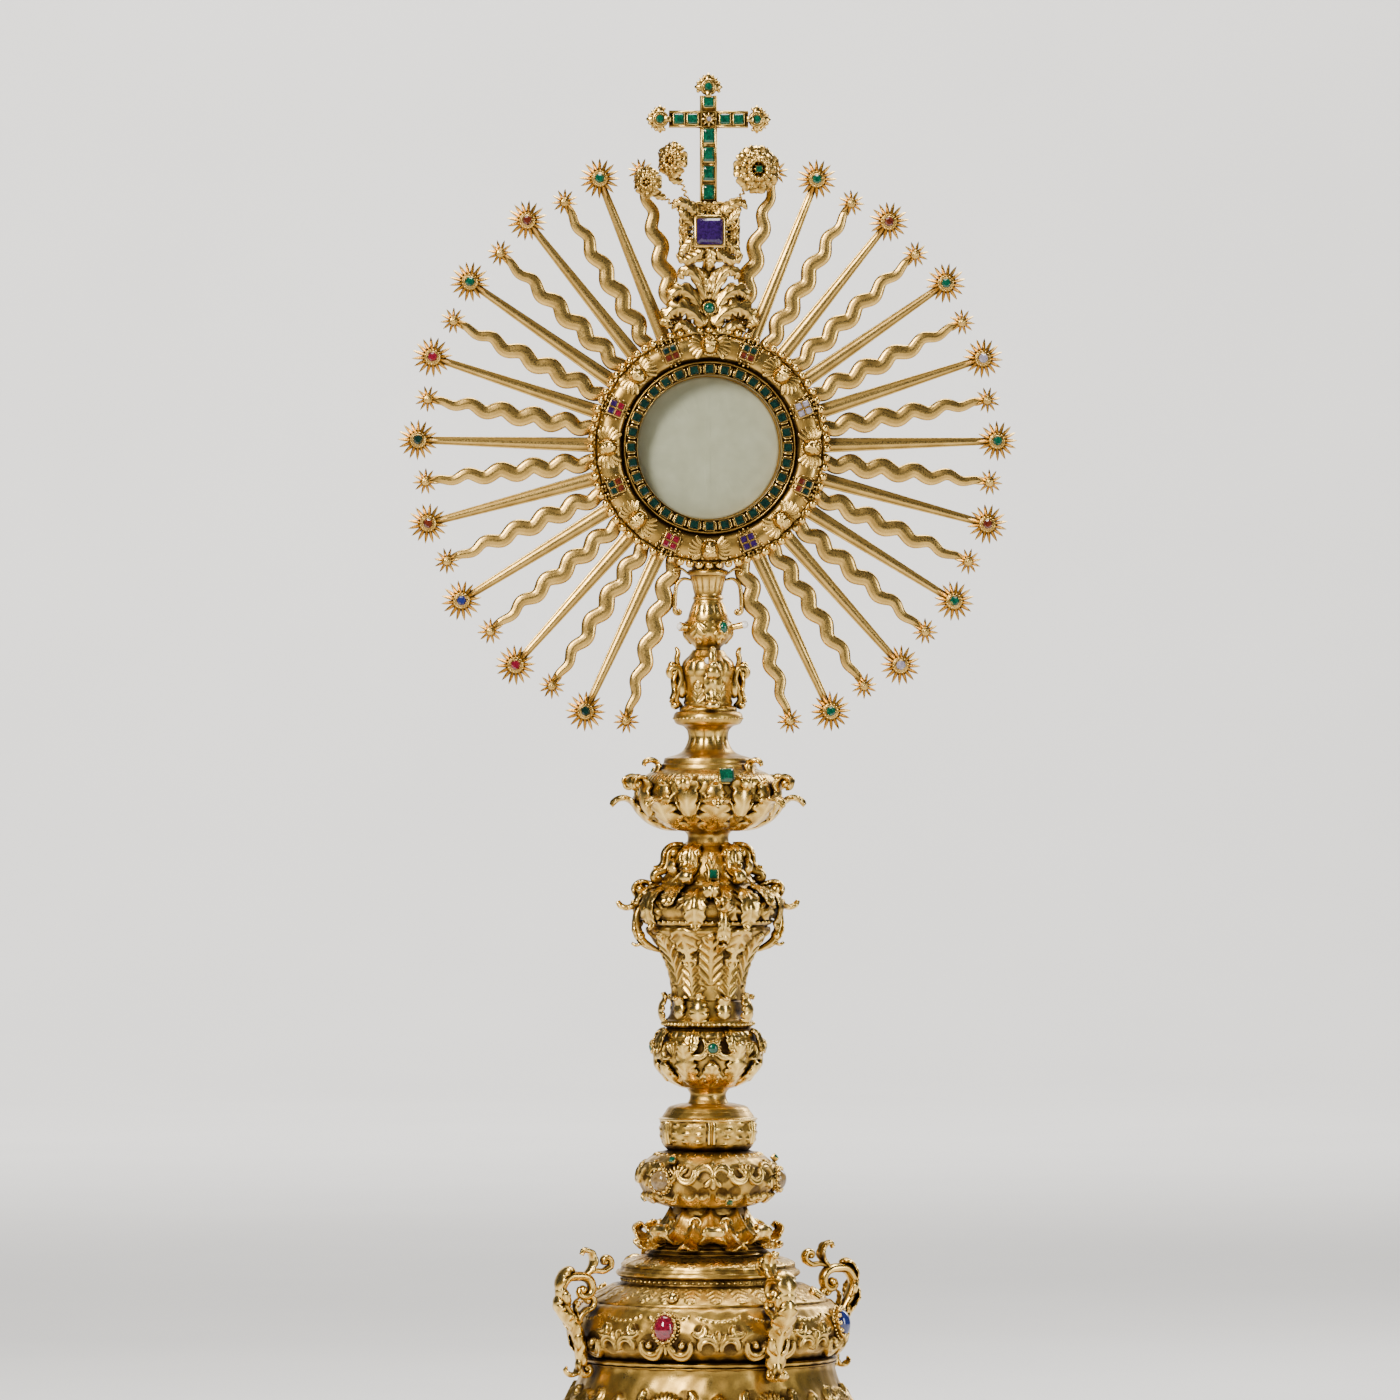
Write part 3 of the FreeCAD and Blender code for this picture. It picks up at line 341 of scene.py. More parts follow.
def ball(radius, around_steps=12, rings=8, patina=0.8):
    phi = np.linspace(0.12, np.pi - 0.12, rings)[:, None]
    th = np.linspace(0, TAU, around_steps, endpoint=False)[None, :]
    p = np.stack([
        radius * np.sin(phi) * np.cos(th), radius * np.sin(phi) * np.sin(th),
        radius * np.cos(phi) + 0 * th, patina + 0 * phi * th,
    ], -1)
    return capped(p[::-1])


def beads(path, radius, wobble=0.0):
    """A row of beads on points in space."""
    shape = ball(radius, 10, 6, 0.95)
    return merged(*[moved(scaled(shape, *([1 + wobble * rng.uniform(-1, 1)] * 3)), *q) for q in path])


def circle_points(radius, count, z=0.0):
    a = np.linspace(0, TAU, count, endpoint=False)
    return np.stack([radius * np.cos(a), radius * np.sin(a), np.full(count, z)], -1)


def rectangle_points(width, height, per_side):
    t = np.linspace(-0.5, 0.5, per_side, endpoint=False)
    zero = 0 * t
    half = zero + 0.5
    x = np.concatenate([t, half, -t, -half]) * width
    y = np.concatenate([-half, t, half, -t]) * height
    return np.stack([x, y, 0 * x], -1)


def rings_of(outline, levels):
    """A stack of copies of a flat outline: levels are (scale, height)."""
    flat = np.ones(len(outline))
    stack = [np.column_stack([outline * scale, flat * height]) for scale, height in levels]
    return capped(points(stack))


def clipped_square(width, height, cut=0.22):
    w, h, c = width / 2, height / 2, cut * min(width, height) / 2
    return np.array([(-w, -h + c), (-w + c, -h), (w - c, -h), (w, -h + c), (w, h - c), (w - c, h),
        (-w + c, h), (-w, h - c)])


def round_outline(radius, count=20, flat=1.0):
    a = np.linspace(0, TAU, count, endpoint=False)
    return np.stack([radius * np.cos(a), radius * flat * np.sin(a)], -1)


def step_cut(width, height, depth, cut=0.16):
    """A step-cut stone: a girdle, two crown steps and a flat table."""
    levels = [(0.86, 0), (1, 0.22 * depth), (1, 0.4 * depth), (0.84, 0.72 * depth), (0.64, depth),
        (0.6, depth)]
    return rings_of(clipped_square(width, height, cut), levels)


def dome(radius, height, flat=1.0):
    levels = [(math.cos(a), height * math.sin(a)) for a in np.linspace(0, 1.45, 8)]
    return rings_of(round_outline(radius, 24, flat), levels)


def square_collet(width, height, depth, wall=0.45):
    """A box setting with a lip, and a claw at each corner."""
    w, h = width + 2 * wall, height + 2 * wall
    shell = rings_of(clipped_square(w, h, 0.1), [(1.0, -depth), (0.94, -0.5 * depth), (1.04, 0),
        (1.04, 0.3), (0.86, 0.34)])
    claw = scaled(ball(0.42 * wall + 0.22, 8, 6), z=1.5)
    tips = [moved(claw, x * width / 2, y * height / 2, 0.55) for x in (-1, 1) for y in (-1, 1)]
    return merged(shell, *tips)


def round_collet(radius, depth, claws=8, flat=1.0):
    shell = rings_of(round_outline(radius + 0.5, 28, flat), [(1.08, -depth), (0.95, -0.5 * depth),
        (1.03, 0), (1.05, 0.5), (0.93, 0.8), (0.86, 0.7)])
    claw = scaled(ball(0.16 * radius + 0.1, 8, 6), z=1.3)
    tips = [moved(claw, *(q * (1, flat, 1))) for q in circle_points(radius + 0.25, claws, 0.9)]
    return merged(shell, *tips)


def beaded_seats(collet, ring, bead, radius, height, azimuths, tilt=0.0):
    """Collets that point out of the stem, each in its own ring of beads."""
    return merged(*[outward(merged(collet, beads(ring, bead)), radius, height, a, tilt)
        for a in azimuths])


# ---- relief patterns -----------------------------------------------------------------------------
def window(z, bottom, top, soft=1.2):
    return np.clip((z - bottom) / soft, 0, 1) * np.clip((top - z) / soft, 0, 1)


def repeat(theta, count, first=0.0):
    """Angle from the nearest of count centres, from -1 to 1."""
    x = (theta - math.radians(first)) * count / TAU
    return 2 * (x - np.floor(x + 0.5))


def gadroons(count, bottom, top, depth):
    """Rounded lobes that stand side by side round the body."""
    def relief(theta, r, z):
        x = repeat(theta, count)
        lobe = np.sqrt(np.clip(1 - x ** 2, 0, 1)) * window(z, bottom, top, (top - bottom) * 0.3)
        return depth * lobe, 0.12 + 0.7 * lobe
    return relief


def leaves(count, bottom, top, depth, first=0.0, spread=0.92, lobes=3.5, up=True):
    """A row of chased acanthus leaves."""
    def relief(theta, r, z):
        y = np.clip((z - bottom) / (top - bottom), 0, 1)
        y = y if up else 1 - y
        x = repeat(theta, count, first)
        teeth = 1 - 0.28 * np.abs(np.sin(np.pi * lobes * y))
        outline = spread * np.sqrt(np.clip(1 - y ** 2.2, 0, 1)) * teeth
        inside = np.clip((outline - np.abs(x)) * 7, 0, 1) * (window(z, bottom, top, 0.8) > 0)
        rib = np.exp(-(x / 0.1) ** 2)
        vein = 0.5 + 0.5 * np.cos(TAU * lobes * (y - 0.45 * np.abs(x)))
        lift = inside * (0.3 + 0.42 * rib + 0.58 * vein * (1 - rib)) * (0.6 + 0.4 * y)
        return depth * lift, 0.04 + 0.96 * np.clip(lift, 0, 1)
    return relief


def scrolls(count, motifs, depth, ridge=0.9, first=0.0, eye=False):
    """Raised C-scrolls. A motif is (degrees off centre, height, radius, first angle, last angle)."""
    def relief(theta, r, z):
        total, hollow = 0 * r, 0 * r
        half = math.pi / count
        x = repeat(theta, count, first) * half
        for side in (1, -1):
            for off, height, radius, start, stop in motifs:
                dx = (side * x - math.radians(off)) * r
                dz = z - height
                d = np.hypot(dx, dz)
                angle = np.degrees(np.arctan2(dz, dx)) % 360
                within = (angle - start) % 360
                sweep = (stop - start) % 360 or 360
                share = np.clip(within / sweep, 0, 1)
                wind = radius * (1 - 0.35 * share)
                band = np.abs(d - wind) / (ridge * (0.55 + 0.75 * np.sin(np.pi * share)))
                groove = 1 - 0.4 * np.exp(-(band / 0.3) ** 2)
                arc = np.clip(1 - band ** 2, 0, 1) ** 0.6 * groove * (within < sweep)
                knob = np.clip(1.15 - (d / (0.28 * radius)) ** 2, 0, 1) ** 0.5 * (eye and radius > 6)
                total = np.maximum(total, np.maximum(arc, knob))
                hollow = np.maximum(hollow, np.clip(1 - (d / (0.9 * radius)) ** 2, 0, 1))
        return depth * np.where(total > 0.02, total, -0.2 * hollow), 0.14 + 0.84 * total
    return relief


def fans(count, motifs, depth, first=0.0):
    """Fluted shells. A motif is (degrees off centre, height, reach, first angle, last angle, flutes)."""
    def relief(theta, r, z):
        total = 0 * r
        x = repeat(theta, count, first) * math.pi / count
        for side in (1, -1):
            for off, height, reach, start, stop, flutes in motifs:
                dx = (side * x - math.radians(off)) * r
                dz = z - height
                d = np.hypot(dx, dz) / reach
                within = ((np.degrees(np.arctan2(dz, dx)) - start) % 360) / ((stop - start) % 360)
                flute = np.abs(np.sin(np.pi * flutes * within))
                inside = (within < 1) * np.clip((0.78 + 0.22 * flute - d) * 6, 0, 1)
                total = np.maximum(total, inside * (0.3 + 0.7 * flute) * np.sqrt(np.clip(d, 0, 1)))
        return depth * total, 0.08 + 0.9 * total
    return relief


def bead_row(count, height, radius):
    def relief(theta, r, z):
        x = repeat(theta, count) * math.pi * r / count
        lift = np.sqrt(np.clip(radius ** 2 - x ** 2 - (z - height) ** 2, 0, None))
        return lift, 0.2 + 0.7 * np.clip(lift / radius, 0, 1)
    return relief


def swags(count, height, drop, depth, first=0.0):
    """Festoons of small beads hung between centres."""
    def relief(theta, r, z):
        x = repeat(theta, count, first)
        line = height - drop * (1 - x ** 2)
        wave = 0.6 + 0.4 * np.cos(theta * count * 9)
        lift = np.exp(-((z - line) / 0.7) ** 2) * wave * (np.abs(x) < 0.85)
        return depth * lift, 0.3 + 0.6 * lift
    return relief


def hammered(depth=0.12, size=3.0):
    """The slight unevenness of hand work."""
    def relief(theta, r, z):
        across, along = r * np.cos(theta) / size, r * np.sin(theta) / size
        dents = np.sin(across * 2.1 + 1.3 * np.sin(z / size)) * np.sin(along * 1.7 + z / size)
        return depth * dents, 0.43 + 0.14 * dents
    return relief


def layered(*reliefs):
    """Patterns laid over each other: the highest shows, and it sets the patina."""
    def relief(theta, r, z):
        lift, patina = reliefs[0](theta, r, z)
        for other in reliefs[1:]:
            more, shade = other(theta, r, z)
            over, under = more > 0.04, more < -0.04
            patina = np.where(over | under, shade, patina * (1 - 0.25 * (shade > 0.16)))
            lift = np.where(over, np.maximum(lift, more), np.where(under, lift + more, lift))
        return lift, patina
    return relief


def outer_only(relief, radius):
    """Keeps a pattern to the outer wall, which is the outline's first half, where it lies beyond a radius."""
    def limited(theta, r, z):
        lift, patina = relief(theta, r, z)
        rows = np.arange(r.shape[0])[:, None]
        outer = (rows < r.shape[0] * 0.47) & (r > radius)
        return lift * outer, np.where(outer, patina, 0.35)
    return limited


def panels(count, bottom, top, depth):
    """Sunk panels with raised frames and a lumpy rocaille filling."""
    def relief(theta, r, z):
        x = np.abs(repeat(theta, count))
        band = window(z, bottom, top, 0.7)
        border = np.maximum(np.exp(-((x - 0.9) / 0.07) ** 2) * band,
            np.exp(-((z - top - 0.5) / 0.7) ** 2))
        sunk = band * (x < 0.86)
        lump = 0.5 + 0.5 * np.sin(theta * count * 2 + z * 0.7) * np.cos(z * 0.9 - theta * count * 1.5)
        lift = np.maximum(border, sunk * lump - 0.55 * sunk)
        return depth * lift, np.clip(np.where(sunk > 0, 0.75 * lump ** 1.5, 0.5 + 0.4 * border), 0, 1)
    return relief


def crumpled(theta, r, z):
    """Close, lumpy filigree for a band about ten millimetres wide."""
    lump = np.sin(13 * theta + 1.7 * r) * np.cos(2.3 * r - 4 * theta)
    lump = lump + 0.6 * np.sin(29 * theta - 1.2 * r)
    lump = np.clip(0.5 + 0.42 * lump, 0, 1) * (z > -0.9)
    return 1.3 * lump, 0.05 + 0.95 * lump


# ---- materials -----------------------------------------------------------------------------------
NOISE = (0.3, 0.7)  # where most of a noise's values lie


def new_material(name):
    made = bpy.data.materials.new(name)
    made.use_nodes = True
    tree = made.node_tree
    return made, tree, tree.nodes["Principled BSDF"]


def add_node(tree, kind, **settings):
    made = tree.nodes.new(kind)
    for key, value in settings.items():
        if key in made.inputs:
            made.inputs[key].default_value = value
        else:
            setattr(made, key, value)
    return made


def noise(tree, scale, detail=4.0, stretch=None):
    """Noise in the row frame. stretch squeezes it along axes, as brushing does."""
    place = add_node(tree, "ShaderNodeTexCoord")
    source = place.outputs["Object"]
    if stretch:
        mapping = add_node(tree, "ShaderNodeMapping")
        mapping.inputs["Scale"].default_value = stretch
        tree.links.new(source, mapping.inputs["Vector"])
        source = mapping.outputs["Vector"]
    made = add_node(tree, "ShaderNodeTexNoise", Scale=scale, Detail=detail, Roughness=0.55)
    tree.links.new(source, made.inputs["Vector"])
    return made.outputs["Fac"]


def remap(tree, source, low_in, high_in, low_out, high_out):
    made = add_node(tree, "ShaderNodeMapRange")
    limits = {"From Min": low_in, "From Max": high_in, "To Min": low_out, "To Max": high_out}
    for key, value in limits.items():
        made.inputs[key].default_value = value
    tree.links.new(source, made.inputs["Value"])
    return made.outputs["Result"]


def maths(tree, operation, a, b):
    made = add_node(tree, "ShaderNodeMath", operation=operation)
    for socket, value in zip(made.inputs, (a, b)):
        if isinstance(value, (int, float)):
            socket.default_value = value
        else:
            tree.links.new(value, socket)
    return made.outputs[0]


def ramp(tree, source, stops):
    made = add_node(tree, "ShaderNodeValToRGB")
    elements = made.color_ramp.elements
    while len(elements) < len(stops):
        elements.new(0.5)
    for element, (place, colour) in zip(elements, stops):
        element.position = place
        element.color = (*colour, 1)
    tree.links.new(source, made.inputs["Fac"])
    return made.outputs["Color"]


def bump(tree, shader, source, distance, strength):
    made = add_node(tree, "ShaderNodeBump", Strength=strength, Distance=distance)
    tree.links.new(source, made.inputs["Height"])
    tree.links.new(made.outputs["Normal"], shader.inputs["Normal"])


def gilt(name, bright, warm, deep, smoothness, brushed=None, use_relief=True):
    """Old gilding: bright crests, warm flats and brown dirt where the relief is low, with painted shade from
    ambient occlusion darkening creases, recesses and gaps between parts.
    """
    made, tree, shader = new_material(name)
    shader.inputs["Metallic"].default_value = 1.0
    cloud = noise(tree, 90, 5)
    fine = noise(tree, 1400, 3, stretch=brushed)
    # painted shade: ambient occlusion darkens the colour where nearby surfaces block the light, in creases,
    # recesses and between parts
    shade = add_node(tree, "ShaderNodeAmbientOcclusion", samples=6, Distance=0.006)
    if use_relief:
        height = add_node(tree, "ShaderNodeAttribute", attribute_name="relief").outputs["Fac"]
    else:
        height = remap(tree, add_node(tree, "ShaderNodeNewGeometry").outputs["Pointiness"], 0.42, 0.56,
            0.15, 1.0)
    wear_and_shade = maths(tree, "ADD", height, remap(tree, cloud, *NOISE, -0.16, 0.16))
    wear_and_shade = maths(tree, "ADD", wear_and_shade, remap(tree, fine, *NOISE, -0.05, 0.05))
    # the ambient occlusion pulls the colour towards the deep shade: painted shade in recesses and between
    # parts
    wear_and_shade = maths(tree, "ADD", wear_and_shade, remap(tree, shade.outputs["AO"], 0.3, 0.92, -0.65, 0.08))
    tree.links.new(ramp(tree, wear_and_shade, [(0.0, deep), (0.42, warm), (0.95, bright)]),
        shader.inputs["Base Color"])
    dirt = remap(tree, wear_and_shade, 0.1, 0.7, smoothness + 0.28, smoothness)
    rough = maths(tree, "ADD", dirt, remap(tree, fine, *NOISE, -0.05, 0.07))
    tree.links.new(rough, shader.inputs["Roughness"])
    bump(tree, shader, fine, 0.00006, 0.5)
    return made


def stone(name, colour, light, clear, index):
    """A gem with slight clouds and flaws inside."""
    made, tree, shader = new_material(name)
    cloud = noise(tree, 700, 3)
    tree.links.new(ramp(tree, cloud, [(0.3, colour), (0.62, light)]), shader.inputs["Base Color"])
    shader.inputs["Transmission Weight"].default_value = clear
    shader.inputs["IOR"].default_value = index
    tree.links.new(remap(tree, noise(tree, 1500), *NOISE, 0.02, 0.09), shader.inputs["Roughness"])
    return made


def pane(name):
    """Clear flat glass that lets the lamps through, with a faint film on it."""
    made, tree, shader = new_material(name)
    tree.nodes.remove(shader)
    clear = add_node(tree, "ShaderNodeBsdfTransparent", Color=(0.97, 0.985, 0.975, 1))
    gloss = add_node(tree, "ShaderNodeBsdfGlossy")
    tree.links.new(remap(tree, noise(tree, 60), *NOISE, 0.02, 0.07), gloss.inputs["Roughness"])
    edge = add_node(tree, "ShaderNodeFresnel", IOR=1.45)
    mix = add_node(tree, "ShaderNodeMixShader")
    tree.links.new(edge.outputs["Fac"], mix.inputs["Fac"])
    tree.links.new(clear.outputs[0], mix.inputs[1])
    tree.links.new(gloss.outputs[0], mix.inputs[2])
    tree.links.new(mix.outputs[0], tree.nodes["Material Output"].inputs["Surface"])
    return made


def wafer_material():
    made, tree, shader = new_material("wafer")
    cloud = noise(tree, 120, 5)
    speck = noise(tree, 1800, 3)
    tree.links.new(ramp(tree, cloud, [(0.3, (0.60, 0.585, 0.41)), (0.7, (0.72, 0.705, 0.52))]),
        shader.inputs["Base Color"])
    tree.links.new(remap(tree, speck, *NOISE, 0.6, 0.85), shader.inputs["Roughness"])
    bump(tree, shader, speck, 0.00008, 0.6)
    return made


def clouded(name, scale, detail, stops, rough, quality, amount):
    """A surface in two cloudy shades, with one more quality such as metal or a coat."""
    made, tree, shader = new_material(name)
    cloud = noise(tree, scale, detail)
    tree.links.new(ramp(tree, cloud, stops), shader.inputs["Base Color"])
    tree.links.new(remap(tree, cloud, *NOISE, *rough), shader.inputs["Roughness"])
    shader.inputs[quality].default_value = amount
    return made


MATERIALS = {
    "cast": gilt("gilt_cast", (0.91, 0.625, 0.19), (0.50, 0.30, 0.062), (0.045, 0.022, 0.007), 0.2),
    # a darker copy of the cast gilding for the castings on the glory: painted shade on the same gilt as the
    # stand
    "aged": gilt("gilt_aged", (0.80, 0.53, 0.155), (0.40, 0.235, 0.052), (0.04, 0.02, 0.006), 0.21),
    "sheet": gilt("gilt_sheet", (0.88, 0.60, 0.18), (0.52, 0.32, 0.075), (0.07, 0.034, 0.01), 0.24,
                  brushed=(1, 1, 0.12)),
    "rays": gilt("gilt_rays", (0.75, 0.485, 0.14), (0.35, 0.205, 0.048), (0.055, 0.026, 0.008), 0.26),
    "plain": gilt("gilt_plain", (0.82, 0.53, 0.14), (0.56, 0.32, 0.065), (0.11, 0.05, 0.014), 0.26,
                  use_relief=False),
    "pearl": clouded("pearl", 500, 3, [(0.3, (0.72, 0.66, 0.58)), (0.7, (0.88, 0.85, 0.80))],
                     (0.15, 0.28), "Coat Weight", 0.6),
    "iron": clouded("iron", 200, 5, [(0.35, (0.10, 0.07, 0.05)), (0.65, (0.30, 0.28, 0.26))],
                    (0.4, 0.65), "Metallic", 0.9),
    "glass": pane("clear_glass"),
    "wafer": wafer_material(),
}
# each stone's two shades, how clear it is, and its index of refraction
STONES = {
    "emerald": ((0.0, 0.035, 0.017), (0.004, 0.115, 0.058), 0.3, 1.6),
    "dark_emerald": ((0.002, 0.009, 0.007), (0.005, 0.030, 0.021), 0.2, 1.6),
    "ruby": ((0.10, 0.002, 0.010), (0.28, 0.008, 0.030), 0.3, 1.76),
    "garnet": ((0.05, 0.005, 0.004), (0.17, 0.028, 0.010), 0.3, 1.76),
    "amethyst": ((0.012, 0.003, 0.036), (0.034, 0.010, 0.095), 0.2, 1.54),
    "sapphire": ((0.01, 0.012, 0.10), (0.03, 0.05, 0.28), 0.45, 1.76),
    "quartz": ((0.15, 0.085, 0.028), (0.36, 0.23, 0.09), 0.3, 1.54),
    "lilac": ((0.42, 0.36, 0.50), (0.70, 0.64, 0.76), 0.6, 1.6),
}
for kind, recipe in STONES.items():
    MATERIALS[kind] = stone(kind, *recipe)
SLOTS = {finish: finish for finish in MATERIALS}
SLOTS.update(
    cast="gilt_cast", aged="gilt_cast", sheet="gilt_sheet", plain="gilt_sheet", rays="gilt_rays",
    dark_emerald="emerald", garnet="ruby", sapphire="amethyst", lilac="quartz", glass="clear_glass",
)


def piece(name, shape, finish, body="stand", replaces=(), flat=False):
    """Makes a Blender piece of a shape in millimetres, and says what it rides on and stands for."""
    verts, blocks = shape
    # castings on the glory take the darker copy of the cast gilding, which paints shade on them
    finish = "aged" if finish == "cast" and body != "stand" else finish
    mesh = bpy.data.meshes.new(name)
    mesh.vertices.add(len(verts))
    mesh.vertices.foreach_set("co", (verts[:, :3] * MM).astype(np.float32).ravel())
    loops = np.concatenate([block.ravel() for block in blocks]).astype(np.int32)
    sizes = np.concatenate([np.full(len(block), block.shape[1]) for block in blocks])
    mesh.loops.add(len(loops))
    mesh.loops.foreach_set("vertex_index", loops)
    mesh.polygons.add(len(sizes))
    mesh.polygons.foreach_set("loop_start", np.r_[0, np.cumsum(sizes)[:-1]].astype(np.int32))
    mesh.polygons.foreach_set("use_smooth", np.full(len(sizes), not flat))
    mesh.update(calc_edges=True)
    mesh.validate()
    store = mesh.attributes.new("relief", "FLOAT", "POINT")
    store.data.foreach_set("value", np.clip(verts[:, 3], 0, 1).astype(np.float32))
    mesh.materials.append(MATERIALS[finish])
    made = bpy.data.objects.new(name, mesh)
    bpy.context.scene.collection.objects.link(made)
    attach(made, body)
    if replaces:
        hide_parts(*replaces)


def casting(name, node, *shapes, body="stand"):
    """A gilt piece of one or more shapes that stands for a CAD node."""
    piece(name, merged(*shapes), "cast", body, [node])


def stone_pieces(name, node, gems):
    """One piece for each kind of stone, from pairs of finish and shape. The first stands for the node."""
    kinds = {}
    for finish, gem in gems:
        kinds.setdefault(finish, []).append(gem)
    for k, (finish, shapes) in enumerate(kinds.items()):
        piece(f"{name}_{finish}", merged(*shapes), finish, "glory", [node] if k == 0 else (), True)


def finish_node(node, finish):
    """A CAD node whose shape is right keeps it and gets a real material."""
    shown = frame["nodes"][node]
    shown.data.materials.clear()
    shown.data.materials.append(MATERIALS[finish])


# ---- foot ----------------------------------------------------------------------------------------
SCROLL_AZIMUTHS = evenly(4, 24)
GEM_AZIMUTHS = evenly(4, -22)
# distance from the axis and height above the floor
GEM_SEAT, GEM_TILT = (72.6, 111.8), 10
BOSS_SEAT, BOSS_TILT = (58.6, 126.8), 48


def foot_lobes(theta):
    """The rim's eight lobes: full at each lobe and pulled in at the cusps between."""
    return 1 - 0.045 * (1 - np.abs(np.cos(4 * theta)) ** 0.5)


def build_foot():
    z = low("foot_rim")[2]
    outline = [(111.6, 0), None, (111.6, 2.2), (110.4, 3.4), None, (109.4, 3.4), (109.6, 5.0),
        (107.6, 6.6), None, (106.6, 6.8), (105.4, 8.2), (105, 10.4), None, (106, 11), (105, 13),
        (102.6, 13.8)]
    chasing = layered(hammered(0.08), leaves(64, z + 6.6, z + 10.6, 0.8))
    rim = turned(z, outline, chasing, 1024, 5, 98.2, foot_lobes)
    casting("rim_casting", "foot_rim", rim)

    z, tall = span("foot_shell")
    curls = [(8.4, z + 62, 5.0, 190, 60), (8.0, z + 47, 5.4, 20, 250)]
    outline = level(z, [(103.6, 0), (98, 10), (88.6, 23), (80.6, 38), (74.6, 53), (69, 64), (66.4, 72),
        (66, tall - 2.4), None, (66.8, tall - 2.2), (67.2, tall - 1), (66, tall), None, (BORE, tall),
        None, (BORE, tall - 2.4), None, (63, tall - 2.4), (63.4, 72), (71.2, 53), (84.6, 23), (99.6, 0),
        None, (103.6, 0)])
    rows = layered(
        leaves(8, z + 16, z + 64, 3.4, 45.5, 0.5, 6.5), scrolls(8, curls, 2.8, 1.9, 23),
        fans(8, [(0, z + 53, 12, 30, 150, 9)], 2.6, 23), leaves(8, z + 4, z + 48, 3.8, 23, 0.62, 5.5),
        leaves(16, z + 2, z + 24, 2.8, 34.25, 0.5, 3.5))
    edging = outer_only(leaves(64, z + 0.4, z + 5, 1.0), 90)
    chasing = layered(hammered(0.16, 4), outer_only(rows, 60), edging)
    shell = lathe(outline, chasing, 560, 11)
    casting("shell_chasing", "foot_shell", shell)

    z = low("foot_torus")[2]
    pairs = [(7.0, z + 9.6, 6.6, 165, 20), (17.4, z + 8.4, 5.2, 340, 200),
        (14.4, z + 17.4, 3.2, 200, 50)]
    shells = [(22.5, z + 8.6, 8.4, 45, 135, 3), (0, z + 12, 8.0, 215, 325, 5)]
    outline = level(z, [(63.8, 0), None, (64.4, 0.8), (66.2, 2.2), (69.6, 6), (71, 11), (71, 16),
        (69, 21), (65.8, 26), (63, 28), (60, 28.4), None, (57, 28.2), None, (57, 0), None, (63.8, 0)])
    chasing = layered(hammered(0.12), scrolls(8, pairs, 3.0, 1.9, 23, True), fans(8, shells, 2.6, 23),
        swags(16, z + 24.6, 3.4, 0.9, 0.5))
    torus = lathe(outline, chasing, 680, 12)
    ring = circle_points(8.6, 26, -1.6) * (1, 0.82, 1)
    settings = beaded_seats(round_collet(7.3, 4.6, 12, 0.8), ring, 0.7, *GEM_SEAT, GEM_AZIMUTHS,
        GEM_TILT)
    casting("torus_casting", "foot_torus", torus, settings)
    boss = scaled(merged(round_collet(3.2, 2.4, 8), dome(3.4, 2.2)), y=0.75)
    piece("shoulder_bosses", outward(boss, *BOSS_SEAT, GEM_AZIMUTHS, BOSS_TILT), "cast")
    finishes = ["ruby", "sapphire", "emerald", "lilac"]
    for k, (azimuth, finish) in enumerate(zip(GEM_AZIMUTHS, finishes)):
        gem = outward(scaled(dome(7.0, 4.6), y=0.78), *GEM_SEAT, azimuth, GEM_TILT)
        piece(f"foot_gem_{k}", gem, finish, replaces=["foot_gems"] if k == 0 else ())

    z = low("foot_shoulder")[2]
    outline = level(z, [(62.2, 0), (61.6, 1.2), (59, 3.2), (55, 5.6), (50, 8.2), (47.4, 9), None,
        (46.4, 9.2), None, (45.4, 10), (45.2, 12.4), None, (46.8, 13), (48, 14.2), (47.4, 15.8), None,
        (46, 16), (45, 18), None, (40.4, 18), None, (40.4, 8), (56, 2), (58, 0), None, (62.2, 0)])
    chasing = layered(hammered(0.1), leaves(28, z + 1.4, z + 8.4, 0.7, up=False),
        bead_row(90, z + 11.2, 0.7))
    shoulder = lathe(outline, chasing, 720, 8)
    casting("shoulder_casting", "foot_shoulder", shoulder)


